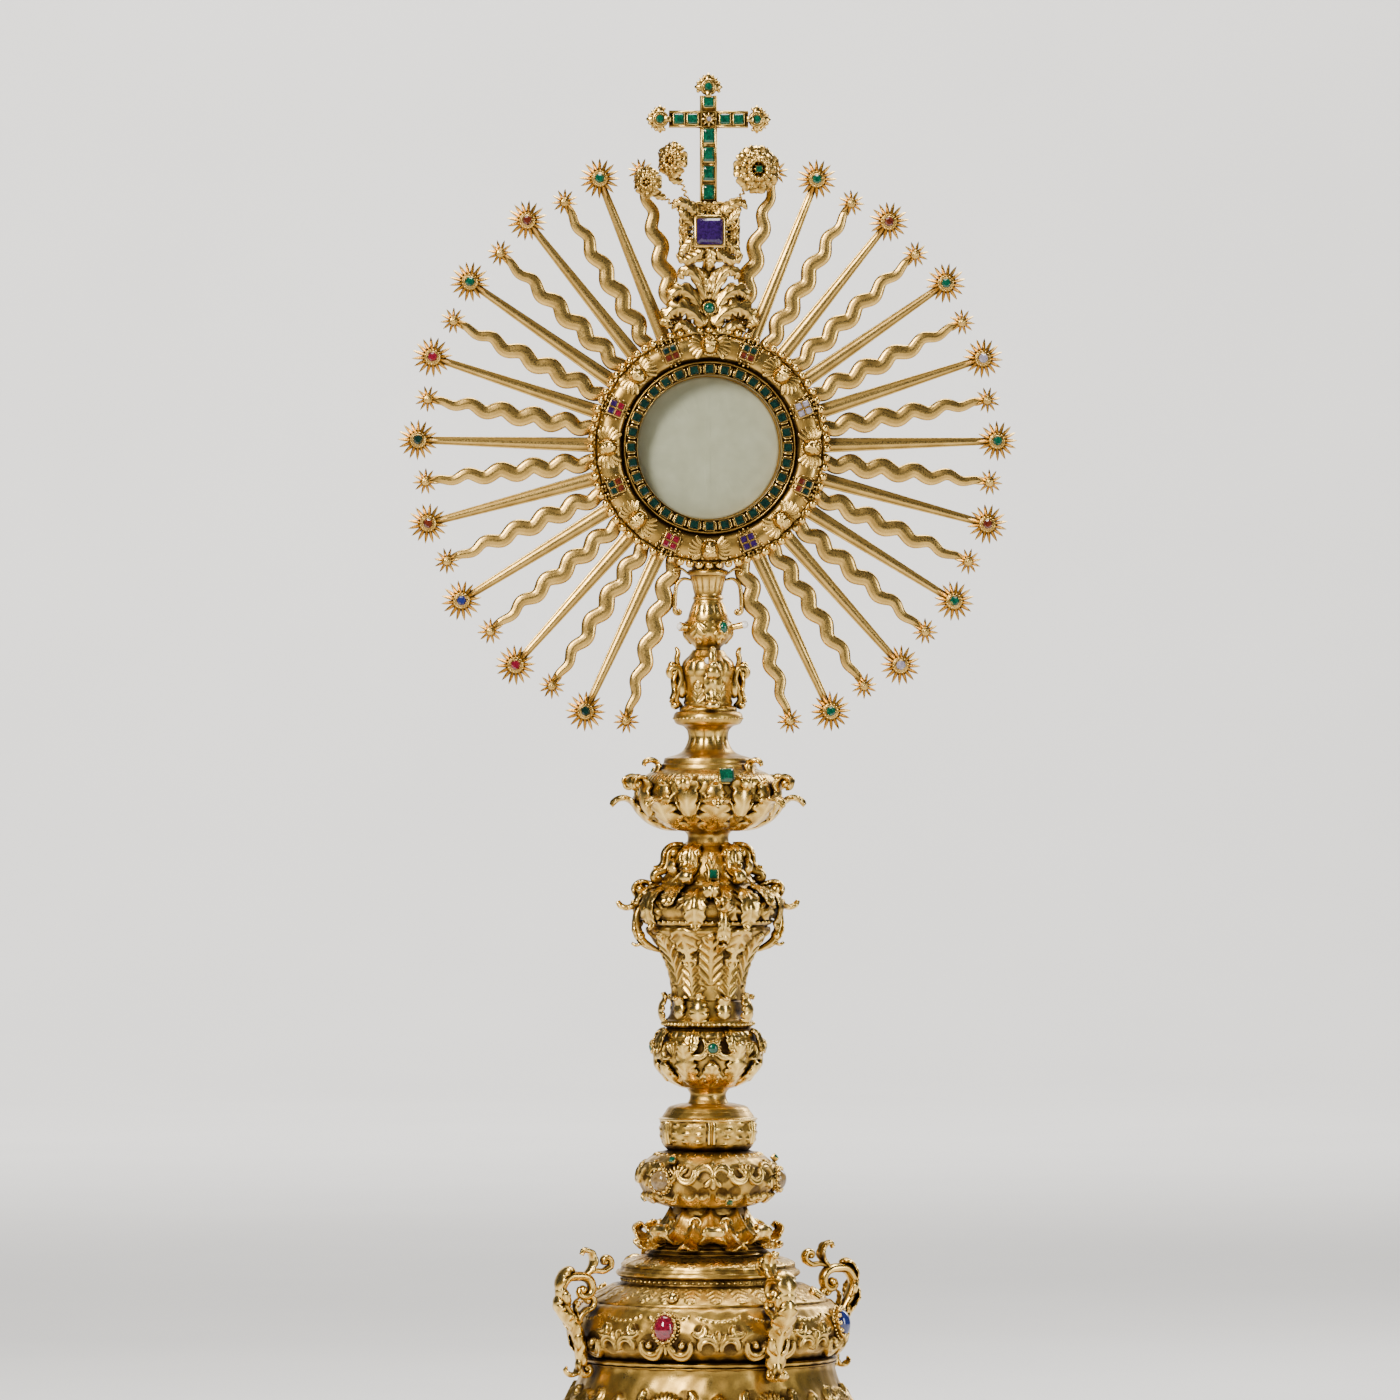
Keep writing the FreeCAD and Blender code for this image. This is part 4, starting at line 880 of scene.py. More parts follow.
def build_foot_scrolls():
    """Openwork acanthus brackets, each an S-scroll with a curled leaf, a foot curl and a back strut."""
    main = volute([(74.5, 92), (73.8, 99), (75.0, 107), (80.0, 115), (84.8, 123), (86.2, 130),
        (82.0, 136.0), (75.0, 136.6)], ((73.4, 129.6), 88, 6.8, 0.82), 8.4, 5.4, 2.3)
    inner = volute([(74, 96), (77, 106), (75.4, 115), (71.6, 119)], ((70.6, 123.6), -80, 4.6, -0.85),
        6.6, 3.6, 1.7)
    foot = volute([(74.5, 97), (76.0, 91), (74.4, 86.0)], ((71.6, 88.6), -40, 3.6, -0.8), 6.8, 3.6, 1.4)
    strut = volute([(75, 136.4), (67, 139.0), (61.6, 138.8), (57.4, 141.0)],
        ((60.2, 143.4), 215, 3.4, -0.8), 6.2, 3.6, 1.5)
    front = leaf([(75.0, 90), (76.8, 98), (79.6, 108), (85.4, 115.6), (89.0, 121), (88.4, 126.0),
        (85.6, 126.4)], 15.0, 7, 1.8, 0.3, 1.6, waves=0.34)
    top = leaf([(85.6, 124), (88.2, 131), (86.6, 137.6), (82.4, 141.2), (79.0, 140.2), (79.4, 138.0)],
        12.5, 5, 1.6, 0.3, 1.4, waves=0.34)
    plume = leaf([(72.4, 137.0), (69.4, 140.6), (68.0, 144.4), (69.4, 148.4), (72.4, 149.4),
        (73.8, 147.4)], 9.0, 4, 2.0, 0.3, 1.0, blunt=0.4)
    tail = leaf([(73.6, 91), (76.6, 86.0), (81.2, 85.0), (84.0, 88.0), (82.6, 90.2)], 8.0, 4, 1.1, 0.35,
        0.7)
    wisp = leaf([(74.4, 112), (78.0, 117.6), (78.4, 123.0), (75.6, 125.4)], 5.6, 4, 1.0, 0.3, 0.6)
    bud = moved(scaled(ball(2.4), y=1.5), 87.4, 0, 125.0)
    sprays = []
    for side in (-1, 1):
        for low_end, high_end in ((97, 108), (108, 118), (120, 130)):
            out = 76.0 + 0.32 * (low_end - 97)
            spray = leaf([(out, low_end), (out + 3.4, low_end + 3.6), (out + 4.2, high_end - 2.0),
                (out + 2.2, high_end)], 5.4, 4, 1.0, 0.3, 0.6)
            sprays.append(moved(rotated(moved(spray, x=-out), 2, 58 * side), x=out, y=1.6 * side))
    whole = merged(main, inner, foot, strut, front, top, plume, tail, wisp, bud, *sprays)
    casting("scroll_brackets", "foot_scrolls", around(whole, SCROLL_AZIMUTHS))


# ---- lower stem ----------------------------------------------------------------------------------
CABOCHONS = np.array(evenly(3, -45))
CABOCHON_LEVEL = 185.2


def build_lower_stem():
    z, tall = span("foot_dome")
    top = z + tall
    outline = [(45.4, 0), (44.6, 1.6), (41, 3.4), (36, 4.8), (32.4, 5.6), None, (31.8, 6), (32.6, 6.8),
        (31.6, 7.6), None, (30.2, 8), (30.6, 9), (29.2, 10.4), None, (29, 11.2), (27.8, 13.4),
        (24.6, 17), (21.4, 20.6), (18.8, 24.6), None, (18.2, 26), (18.8, 27.4), (18.4, 29.4),
        (18.2, tall)]
    chasing = layered(hammered(0.08), leaves(24, z + 0.8, z + 5.4, 0.5, up=False),
        gadroons(16, z + 15, z + 26, 0.9))
    dome_body = turned(z, outline, chasing, 480, 8)
    casting("dome_casting", "foot_dome", dome_body)
    fold = leaf(level(top, [(17.6, -0.8), (19.8, -5), (23.2, -10), (27.2, -14.2), (32, -16.2),
        (36, -14.2), (37.4, -10.8), (35.2, -8.8), (33.6, -10.6)]), 16.5, 6, 2.0, -0.35, 1.7, blunt=0.45,
        waves=0.34)
    point = leaf(level(top, [(20.6, -6), (24.0, -12), (29, -17.0), (34.4, -19.4), (38.4, -19.6),
        (40.8, -17.6)]), 14.0, 6, 1.5, -0.3, 1.4, blunt=0.05, waves=0.32)
    ovals = outward(merged(round_collet(2.4, 1.6, 0, 1.2), dome(2.4, 1.3, 1.2)), 21.0, top - 7.4,
        evenly(8, 22.5), 20)
    casting("skirt_of_leaves", "skirt_leaves", around(fold, evenly(8)), around(point, evenly(8, 22.5)),
        ovals)

    z, tall = span("knop_lower")
    motifs = [(9, z + 19.0, 5.2, 165, 30), (22, z + 18.0, 4.6, 350, 200), (11, z + 8.6, 4.6, 190, 350),
        (22, z + 8.6, 3.8, 200, 350)]
    shells = [(0, z + 15.4, 8.4, 40, 140, 5), (30, z + 17.6, 7.6, 215, 325, 3),
        (30, z + 18.4, 7.0, 35, 145, 3)]
    outline = [(17.6, 0), None, (22, 0.6), (27.6, 2.6), (33, 7), (35.8, 12), (36.2, 17), (34, 22.4),
        (29.4, 26.6), (24, 28.8), (21.8, tall)]
    chasing = layered(hammered(0.14), scrolls(6, motifs, 2.3, 1.7), fans(6, shells, 1.8),
        bead_row(40, z + 27.6, 0.7))
    knop = turned(z, outline, chasing, 620, 12)

    def high_and_low(shape):
        over = outward(shape, 35.0, 196.3, CABOCHONS + 9, 38)
        return merged(over, outward(shape, 34.0, 174.7, CABOCHONS + 60, -38))
    ring = circle_points(6.9, 24, -0.6)
    seats = beaded_seats(round_collet(5.8, 3, 12), ring, 0.5, 37.2, CABOCHON_LEVEL, CABOCHONS)
    casting("lower_knop_casting", "knop_lower", knop, high_and_low(square_collet(3.0, 3.0, 2.2)), seats)
    piece("knop_emeralds", high_and_low(step_cut(2.9, 2.9, 1.3)), "emerald", flat=True,
        replaces=["stem_emeralds"])
    gems = outward(dome(5.5, 4.0, 1.0), 37.4, CABOCHON_LEVEL, CABOCHONS)
    piece("knop_cabochon_stones", gems, "quartz", replaces=["knop_cabochons"])

    z, tall = span("knop_ring")
    outline = [(20, 0), None, (21.4, 0.4), (23.6, 3), (25, 8), (25, 13), (24, 17.4), (22, 20.4), None,
        (21.8, 20.8), (20, 22.8), (15.4, 24), (12, tall)]
    chasing = layered(hammered(0.08), panels(6, z + 3.4, z + 15.6, 1.5))
    ring_body = turned(z, outline, chasing, 480, 12)
    casting("ring_knop_casting", "knop_ring", ring_body)

    z = low("bowl_knop")[2]
    tall = 39.1
    outline = [(10.8, 0), (9.6, 2.4), (9.4, 5), (11, 7.4), None, (12.4, 7.8), None, (16, 9),
        (21.6, 13.6), (25.4, 20), (26.4, 27), (25.4, 33.6), (23.4, 37.4), (21.8, tall)]
    chasing = layered(hammered(0.1), scrolls(4, [(17, z + 29, 5.6, 120, 350),
        (34, z + 27, 4.6, 60, 300)], 2.2, 1.5), fans(4, [(0, z + 20, 9, 215, 325, 5),
        (45, z + 24, 9, 40, 140, 5)], 2.0), gadroons(28, z + 34, z + 38.4, 0.7))
    bowl = turned(z, outline, chasing, 480, 10)
    sheath = leaf(level(z, [(13, 8.6), (19.6, 11.4), (24.4, 15.6), (27.6, 20), (28.0, 25), (29.4, 28.4),
        (30.0, 31.4), (28.0, 31.6)]), 13.5, 8, 1.6, 0.22, 1.6, blunt=0.3, waves=0.42)
    short = leaf(level(z, [(16, 9.4), (22.4, 12.6), (26.8, 16.4), (28.4, 20.4), (27.0, 22.4)]), 10.5, 5,
        1.5, 0.3, 1.4, blunt=0.4, waves=0.36)
    crest = leaf(level(z, [(23.0, 37.6), (26.0, 36.4), (28.0, 32.6), (28.6, 28.6), (30.0, 26.8)]), 8.5,
        5, 1.3, 0.2, 1.3, blunt=0.1, waves=0.36)
    seats = beaded_seats(round_collet(2.9, 5, 8), circle_points(4.0, 14), 0.5, 28.6, z + 29.4,
        evenly(4, 1))
    foliage = merged(around(sheath, evenly(6, 30)), around(short, evenly(6, 0)),
        around(crest, evenly(8, 23.5)))
    casting("bowl_knop_casting", "bowl_knop", bowl, foliage, seats)
    piece("bowl_emeralds", outward(dome(2.8, 2.0), 28.9, z + 29.4, evenly(4, 1)), "emerald")

    z = low("vase_collar")[2]
    outline = [(20.8, 0), None, (22.6, 0.6), (23.8, 2.2), (23.2, 4), None, (21.6, 4.8), (19.6, 8),
        (18, 14.4)]
    chasing = layered(hammered(0.08), bead_row(54, z + 2.3, 0.9))
    collar = turned(z, outline, chasing, 360, 8)
    flame = leaf(level(z, [(21.4, 1.4), (24.4, 4.4), (25.6, 8.6), (25.0, 12.4), (23.2, 15.6),
        (24.0, 18.4)]), 11.5, 5, 1.5, 0.4, 1.4, blunt=0.35, waves=0.36)
    small = leaf(level(z, [(20.6, 4.6), (21.4, 8.6), (21.0, 12.4), (22.4, 15.6), (23.8, 14.8)]), 9.0, 4,
        1.4, 0.3, 1.2, blunt=0.45, waves=0.34)
    casting("collar_casting", "vase_collar", collar, around(flame, evenly(5, -88)),
        around(small, evenly(5, -52)))


# ---- upper stem ----------------------------------------------------------------------------------
DISH_EMERALDS = [12, 137, 227]


def build_upper_stem():
    z, tall = span("vase_body")
    top = z + tall
    outline = [(17.4, 0), None, (17.8, 1), (18.2, 8), (19.6, 16), (22.6, 24), (27, 31), (29.8, 34.6),
        None, (30.4, 35), (31.2, 36.4), (30.8, tall)]
    chasing = layered(hammered(0.08), leaves(6, z + 1, z + 24, 2.6, 0, 0.86, 4.5),
        leaves(6, z + 8, z + 36, 2.8, 30, 0.92, 5.5), leaves(6, z + 20, z + 38, 2.6, 0, 0.7, 3.5,
        up=False), scrolls(6, [(8, z + 24, 3.6, 60, 300)], 2.4, 1.2))
    vase = turned(z, outline, chasing, 540, 15)
    casting("vase_casting", "vase_body", vase)
    handle = volute(level(top, [(33.4, 12), (36.6, 9), (38.2, 3), (37.0, -3), (34.6, -8), (29.6, -11.6),
        (24.8, -13.6)]), None, 5.6, 4.4)
    curl = leaf(level(top, [(34.4, -6.4), (35.4, -9.4), (38.2, -10.6), (40.6, -9.2)]), 5.4, 3, 1.3, 0.3,
        0.6)
    knee = leaf(level(top, [(38.8, 3), (38.6, -3), (35.4, -8.6), (30.0, -12.4)]), 7.4, 5, 1.3, 0.25, 1.0,
        waves=0.32)
    knot = moved(scaled(ball(2.9), y=1.2), 36.2, 0, top - 5.4)
    casting("vase_handles", "vase_scrolls", around(merged(handle, curl, knee, knot), evenly(4, -82)))

    z = low("vase_rim")[2]
    outline = [(30.8, 0), None, (32.8, 0.6), (33.4, 2), (32.6, 3.2), None, (33, 4), (35.6, 6.6),
        (36, 10), (34, 13.6), (31, 16), None, (30, 17), (27.6, 19.4), (26, 21)]
    chasing = layered(hammered(0.12), leaves(10, z + 4, z + 16.4, 3.0, up=False),
        bead_row(60, z + 2, 0.8))
    rim = turned(z, outline, chasing, 480, 9)
    casting("vase_rim_casting", "vase_rim", rim)
    hook = leaf(level(z, [(29, 18.4), (34.4, 15.4), (38.6, 10.4), (43, 8.6), (46.8, 9.8), (48.2, 12.6)]),
        9.6, 5, 2.0, 0.25, 1.2, blunt=0.2, waves=0.34)
    shell = leaf(level(z, [(27, 19.6), (31, 21.2), (35.4, 21.8), (38, 19), (36.6, 16), (34.2, 16.8)]),
        9.4, 5, 1.8, 0.3, 1.2, blunt=0.45, waves=0.3)
    drape = leaf(level(z, [(28, 18.6), (34.4, 15.8), (37.6, 10.4), (36.8, 4.6), (35.0, 1), (36.8, -2)]),
        12.5, 6, 1.7, 0.2, 1.5, blunt=0.2, waves=0.38)
    fold = leaf(level(z, [(26, 20), (31.4, 18.4), (36.2, 14.6), (38.4, 11.4), (41.0, 11.6)]), 10, 5, 1.6,
        0.3, 1.4, blunt=0.3, waves=0.36)
    bud = moved(scaled(ball(3.4), y=1.4), 35.2, 0, z + 18.6)
    casting("rim_foliage", "rim_leaves", around(hook, evenly(4, -82)),
        around(merged(shell, bud), evenly(4, -92)), around(drape, evenly(8, -59.5)),
        around(fold, evenly(8, -37)))

    z = low("volute_dome")[2]
    outline = [(25, 0), (23.6, 2.4), (20.6, 6), (18.6, 12), (16.4, 17), (13.6, 19.6), None, (13, 20)]
    chasing = layered(hammered(0.1), leaves(12, z + 1, z + 18, 1.6, 2))
    dome_body = turned(z, outline, chasing, 360, 10)
    roll = volute(level(z, [(12.6, 19.4), (17.6, 19.0), (20.6, 16.4), (21.2, 12.0), (22.4, 8.2),
        (25.8, 6.6)]), ((26.0, z + 3.8), 84, 2.9, -0.85), 8.0, 4.8, 1.7)
    upper = moved(scaled(ball(3.3), y=1.2), 17.6, 0, z + 16.6)
    cover = leaf(level(z, [(13, 20.2), (18.6, 20.0), (22.4, 16.8), (23.2, 11.4), (25.6, 8.4),
        (28.6, 8.4)]), 9.6, 5, 1.6, 0.2, 1.3, blunt=0.3, waves=0.34)
    wing = leaf(level(z, [(18.6, 2), (22.4, 5), (24.4, 9.4), (23.6, 12.6), (21.4, 13.2)]), 9.0, 4, 1.5,
        0.3, 1.2, blunt=0.4, waves=0.34)
    seat = outward(square_collet(4.8, 4.4, 6), 26.2, z + 6.0, 2, 8)
    rolls = around(merged(roll, upper, cover), evenly(6, 32))
    casting("volute_dome_casting", "volute_dome", dome_body, rolls, around(wing, evenly(6, 2)[1:]), seat)
    piece("dome_emerald", outward(step_cut(4.7, 4.3, 1.8), 26.3, z + 6.0, 2, 8), "emerald", flat=True)

    z = low("dish_knop")[2]
    outline = [(12, 0), (10.8, 2.6), (10.9, 6), (13.6, 8.8), None, (15, 9), None, (21, 9.6), (29, 13),
        (34.4, 19), (36.2, 26), (35.2, 32.6), (31.0, 37.6), (26, 40)]
    chasing = layered(hammered(0.1), leaves(8, z + 11, z + 30, 2.6, 2),
        fans(8, [(0, z + 13, 14, 50, 130, 5)], 2.2, 24.5), gadroons(64, z + 31.6, z + 38.6, 0.5))
    dish = turned(z, outline, chasing, 560, 11)
    seats = outward(square_collet(7.6, 7.4, 6), 34.8, 394.8, DISH_EMERALDS, 24)
    casting("dish_casting", "dish_knop", dish, seats)
    piece("dish_emeralds", outward(step_cut(7.5, 7.3, 2.4), 35.0, 394.9, DISH_EMERALDS, 24), "emerald",
        flat=True)
    tongue = leaf(level(z, [(15, 8.8), (23, 9.2), (31, 12.4), (36.6, 17.4), (39.6, 21.8), (43.4, 24.2),
        (47.2, 23.6), (50.4, 20.8)]), 18, 7, 1.8, 0.2, 1.6, blunt=0.16, waves=0.36)
    crook = leaf(level(z, [(34.4, 16), (38, 21.6), (38.8, 27.6), (38.4, 32.4), (40.8, 35.4), (44, 34.4),
        (44, 31.6), (41.8, 31.2)]), 13.5, 6, 1.7, 0.25, 1.5, blunt=0.4, waves=0.36)
    husk = leaf(level(z, [(32.6, 15), (36.6, 21), (38, 27), (37.2, 32), (39.6, 34.6)]), 12, 6, 1.6, 0.2,
        1.5, blunt=0.3, waves=0.38)
    hook = leaf(level(z, [(34.6, 31), (31.4, 35.4), (28.2, 39.6), (28.0, 42.8), (30.8, 44.4),
        (34.0, 43.6), (35.0, 41.8)]), 7, 4, 2.0, 0.3, 1.0, blunt=0.3)
    bud = moved(scaled(ball(2.7), y=1.3), 42.2, 0, z + 32.8)
    casting("dish_foliage", "dish_leaves", around(tongue, evenly(8, -88)),
        around(merged(crook, bud), evenly(8, -65.5)), around(husk, evenly(8, -88)),
        around(hook, [-76, 48, 168]))

    z = low("neck_upper")[2]
    outline = [(26, 0), None, (25.4, 1), (25, 2.6), None, (23.4, 3), (23, 4.6), (22.6, 5.8), None,
        (20.6, 6.4), (15, 8.4), (11.4, 12), (9.9, 16), (10.6, 20), (13.0, 22.4), None, (13.6, 22.6),
        (16.6, 23.6), (18, 26), (17.8, 28.4), (16.4, 30)]
    chasing = layered(hammered(0.05), gadroons(12, z + 10, z + 22, 0.5), bead_row(44, z + 26.4, 0.5))
    neck = turned(z, outline, chasing, 360, 9)
    casting("neck_casting", "neck_upper", neck)


def build_drum_and_pear():
    z = low("bracket_drum")[2]
    outline = [(15, 0), None, (15, 1.6), (13.6, 3), None, (12.6, 3.4), (11.6, 8), (12, 14), (13.2, 19),
        (12.6, 25), (9.6, 29.6), (8, 32)]
    chasing = layered(hammered(0.08), leaves(6, z + 4, z + 16, 1.2), gadroons(10, z + 18, z + 29, 0.8))
    drum = turned(z, outline, chasing, 300, 9, UPPER_BORE)
    seat = outward(round_collet(2.1, 2, 6), 13.8, z + 25.9, -4, 25)
    casting("drum_casting", "bracket_drum", drum, seat)
    body = volute(level(z, [(13.8, 2.6), (16.8, 6), (15.8, 11.4), (14.0, 17), (15.4, 22), (18, 22.8)]),
        ((18.0, z + 20.0), 88, 2.8, -0.8), 7.6, 4.6, 1.7)
    horn = volute(level(z, [(14.6, 22.0), (16.4, 26.6), (15.8, 30.6), (17.0, 33.6)]), None, 4.6, 3.0)
    robe = leaf(level(z, [(15, 23), (17.4, 17), (17.0, 10), (18.8, 5.4), (20.2, 5.8)]), 10, 5, 1.8, 0.25,
        1.4, blunt=0.3, waves=0.34)
    toe = moved(scaled(ball(2.7), y=1.5, z=0.9), 17.2, 0, z + 3.4)
    breast = moved(scaled(ball(3.6), y=0.95, z=1.9), 13.6, 0, z + 13.4)
    nose = moved(scaled(ball(2.2), y=1.2), 19.0, 0, z + 24.0)
    casting("drum_brackets", "bracket_figures", around(merged(body, horn, robe, toe, breast, nose),
        evenly(4, -86)))

    z, tall = span("pear_knop")
    outline = [(6.6, 0), (7, 1.6), (10, 4.4), (12.6, 8), (12.4, 12.6), (10.4, 17), (8.6, 21),
        (7.8, 24.6), (7.4, tall)]
    chasing = layered(hammered(0.06), leaves(6, z + 3, z + 15, 1.0, up=False),
        gadroons(12, z + 17, z + 25, 0.6))
    pear = turned(z, outline, chasing, 300, 11, UPPER_BORE)
    seats = [
        outward(round_collet(3.1, 3.6, 8, 0.72), 14.6, z + 11.7, 28, 8),
        outward(round_collet(1.8, 6.0, 6), 16.1, z + 12.0, -64, 8),
        outward(round_collet(1.3, 8.4, 5), 18.3, z + 13.0, 80, 12),
    ]
    casting("pear_casting", "pear_knop", pear, *seats)
    piece("pear_emerald", outward(scaled(dome(3.1, 2.2), y=0.74), 14.9, z + 11.7, 28, 8), "emerald")
    drum_level = low("bracket_drum")[2]
    pearls = [
        outward(ball(1.9, 16, 12), 16.8, z + 12.2, -64, 8),
        outward(ball(2.1, 16, 12), 19.0, z + 13.2, 80, 12),
        outward(ball(1.9, 16, 12), 14.6, drum_level + 26.4, -4, 25),
    ]
    piece("stem_pearls", merged(*pearls), "pearl", replaces=["pearls"])


# ---- the glory's case ----------------------------------------------------------------------------
# distance of heads and stone clusters from the host's middle, and the clusters' angles
CHERUB = 52.8
CLUSTERS = evenly(8, 22.5)


def build_ring():
    face = -RING_FACE
    outline = [(45, 4.0), None, (60, 4.0), None, (60, 6.2), (58.8, 9.0), (56.4, 11.6), (53, 12.7),
        (49.6, 12.6), (47.4, 12.0), (46, 10.8), None, (45.1, 10.0), None, (45, 4.0)]
    front = front_lathe(outline, hammered(0.05, 5), 480, 8)
    rope = front_lathe([(58.6, 8.9), (59.4, 9.4), (60.2, 9.2), (60.4, 8.2), (59.8, 7.4)], None, 240, 4)
    mounts = []
    for angle in CLUSTERS:
        box = [facing_front(moved(square_collet(3.3, 3.3, 2.6, 0.5), x, z, face - 0.3))
            for x in (-2.0, 2.0) for z in (-2.0, 2.0)]
        places = np.vstack([circle_points(5.6, 16), circle_points(6.9, 18, -0.8)])
        fringe = [moved(ball(0.8, 8, 6, 0.3 + 0.5 * (k % 2)), *q) for k, q in enumerate(places)]
        rim = facing_front(moved(merged(*fringe), z=face - 2.2))
        mounts.append(sunward(moved(merged(*box, rim), x=CHERUB), [angle]))
    casting("ring_casting", "ring_front", front, rope, *mounts, body="glory")

    def bead_circle(radius, count, depth, size):
        places = circle_points(radius, count)
        return beads(np.stack([places[:, 0], np.full(count, -depth), places[:, 1] + SUN], -1), size, 0.1)
    casting("beaded_edge", "bead_border", bead_circle(61.0, 76, 8.4, 2.3),
        bead_circle(57.6, 100, 10.4, 0.8), body="glory")

    mixed = ("dark_emerald", "garnet")
    kinds = [("lilac", "lilac"), mixed, mixed, ("amethyst", "ruby"), mixed, ("ruby", "ruby"),
        ("amethyst", "amethyst"), mixed]
    gems = []
    for angle, (outer, inner) in zip(CLUSTERS, kinds):
        for x, finish in ((2.0, outer), (-2.0, inner)):
            for z in (-2.0, 2.0):
                gem = facing_front(moved(step_cut(3.1, 3.1, 1.3), CHERUB + x, z, face - 0.25))
                gems.append((finish, sunward(gem, [angle])))
    stone_pieces("cluster", "cluster_stones", gems)


def build_bezel():
    outline = [(45, 4.0), None, (45, 9.8), None, (45.0, 11.4), (44.7, 12.4), (44.2, 12.9), (43.7, 12.2),
        None, (43.5, 10.2), None, (38.2, 10.2), None, (38.1, 12.0), (37.8, 12.8), (37.5, 12.0), None,
        (37.5, 6.1), None, (39.5, 6.1), None, (39.5, 4.0), None, (45, 4.0)]
    band = front_lathe(outline, hammered(0.04, 6), 360, 5)
    count, circle = 32, 40.8
    collet = facing_front(moved(square_collet(4.5, 4.5, 1.7, 0.4), circle, 0, 11.7))
    bar = rings_of(clipped_square(4.4, 0.7, 0.1), [(1, -1.6), (1, 0.4), (0.7, 0.9)])
    bars = [facing_front(moved(bar, circle, z, 11.6)) for z in (-0.85, 0.85)]
    every = merged(sunward(collet, evenly(count)), sunward(merged(*bars), evenly(count, 180 / count)))
    casting("bezel_casting", "bezel", band, every, body="glory")
    gem = facing_front(moved(step_cut(4.3, 4.3, 1.8, 0.08), circle, 0, 11.8))
    piece("bezel_emeralds", sunward(gem, evenly(count)), "dark_emerald", "glory", ["bezel_stones"], True)


def cherub():
    """A calm generic child's head with curls over a pair of wings, facing the front, its crown along +X."""
    rows, columns = 40, 56
    v = np.linspace(0.04, np.pi - 0.04, rows)[:, None]
    u = np.linspace(-np.pi, np.pi, columns, endpoint=False)[None, :]
    x, y, z = np.sin(v) * np.sin(u), -np.sin(v) * np.cos(u), np.cos(v) + 0 * u
    # each feature's swell, place across and up, and half-width and half-height
    features = [
        (0.07, 0, 0.62, 0.5, 0.25),  # brow
        (0.30, 0, -0.14, 0.09, 0.13), (0.12, 0, 0.02, 0.06, 0.2),  # nose and its bridge
        (0.09, 0, -0.38, 0.15, 0.035), (0.09, 0, -0.48, 0.13, 0.04),  # lips
        (-0.05, 0, -0.43, 0.16, 0.02), (0.12, 0, -0.68, 0.18, 0.12),  # mouth, chin
    ]
    for side in (-0.33, 0.33):
        features += [(-0.13, side, 0.06, 0.15, 0.09), (0.10, side, 0.05, 0.09, 0.05)]  # socket, eye
    features += [(0.10, side, -0.28, 0.2, 0.2) for side in (-0.45, 0.45)]  # cheeks
    bulge = 0
    for swell, across, up, width, tall in features:
        bulge = bulge + swell * np.exp(-((x - across) / width) ** 2
            - ((z - up) / tall) ** 2) * (y < 0.15)
    hair = (z > 0.48 + 0.25 * y) | (y > 0.05)
    curls = 0.16 * (0.5 + 0.5 * np.sin(9 * u + 5 * np.sin(6 * v)) * np.sin(9 * v)) + 0.05
    size = 1 + np.where(hair, curls, bulge)
    p = np.stack([3.3 * size * x, 3.4 * size * y, 3.9 * size * z,
        np.where(hair, 0.3 + 3 * curls, 0.62 + 1.5 * bulge)], -1)
    head = scaled(capped(p[::-1]), 1.16, 1.1, 1.12)
    feathers = []
    plumes = [(7.2, 5.0), (8.6, 3.0), (9.2, 0.8), (8.6, -1.4), (7.2, -3.2), (5.4, -4.8)]
    for side in (-1, 1):
        for k, (length, rise) in enumerate(plumes):
            plume = frond([(0, 0), (length * 0.5, rise * 0.6 + 1.2), (length * 0.85, rise + 0.4),
                (length, rise - 0.4)], 2.6, 9, 0.8, 0.7, waves=0.2)
            feathers.append(moved(scaled(plume, x=side), 1.6 * side, 2.6 - 0.3 * k, -1.2))
    collar = [moved(ball(0.8, 8, 6), 1.1 * k, 0.6, -4.4 + 0.12 * k * k) for k in range(-2, 3)]
    whole = merged(head, *feathers, *collar)
    return rotated(whole, 1, 90)


def build_cherubs():
    one = moved(scaled(cherub(), 1.06, 0.98, 1.06), x=CHERUB, y=RING_FACE + 0.3)
    casting("cherubs", "cherub_heads", sunward(one, evenly(8)), body="glory")


def build_host():
    def embossed(theta, r, z):
        x, y = r * np.cos(theta), r * np.sin(theta)
        ring = np.exp(-((r - 33) / 0.5) ** 2) + np.exp(-((r - 31.2) / 0.3) ** 2)
        bars = (np.abs(x) < 1.4) * (np.abs(y + 2) < 17) + (np.abs(y - 4) < 1.4) * (np.abs(x) < 10)
        rays = (np.cos(24 * theta) > 0.75) * (r > 20) * (r < 27)
        lift = 0.16 * np.clip(ring + bars + 0.6 * rays, 0, 1)
        return lift * (z > -2), 0.6 + 0 * r
    radius, back = high("host")[0], -high("host")[1]
    front = -low("host")[1]
    outline = [(0.2, back), None, (radius, back), None, (radius, front), None, (0.2, front)]
    wafer = front_lathe(outline, embossed, 260, 60)
    piece("altar_bread", wafer, "wafer", "lunette", ["host"])


# ---- rays and stars ------------------------------------------------------------------------------
# degrees between rays, the topmost ray's angle, rays on a side, where they start and the stars' centres lie
RAY_STEP, TOP_RAY, PER_SIDE = 8.31, 76.3, 19
RAY_START, LARGE_REACH, SMALL_REACH = 56.1, 151.0, 148.0
STAR_PLANE = -0.6


def ray_angles(odd):
    """(angle, side) of every other ray on the right, then on the left."""
    one_side = [TOP_RAY - RAY_STEP * i for i in range(PER_SIDE) if i % 2 == odd]
    return [(a, 1) for a in one_side] + [(180 - a, -1) for a in one_side]


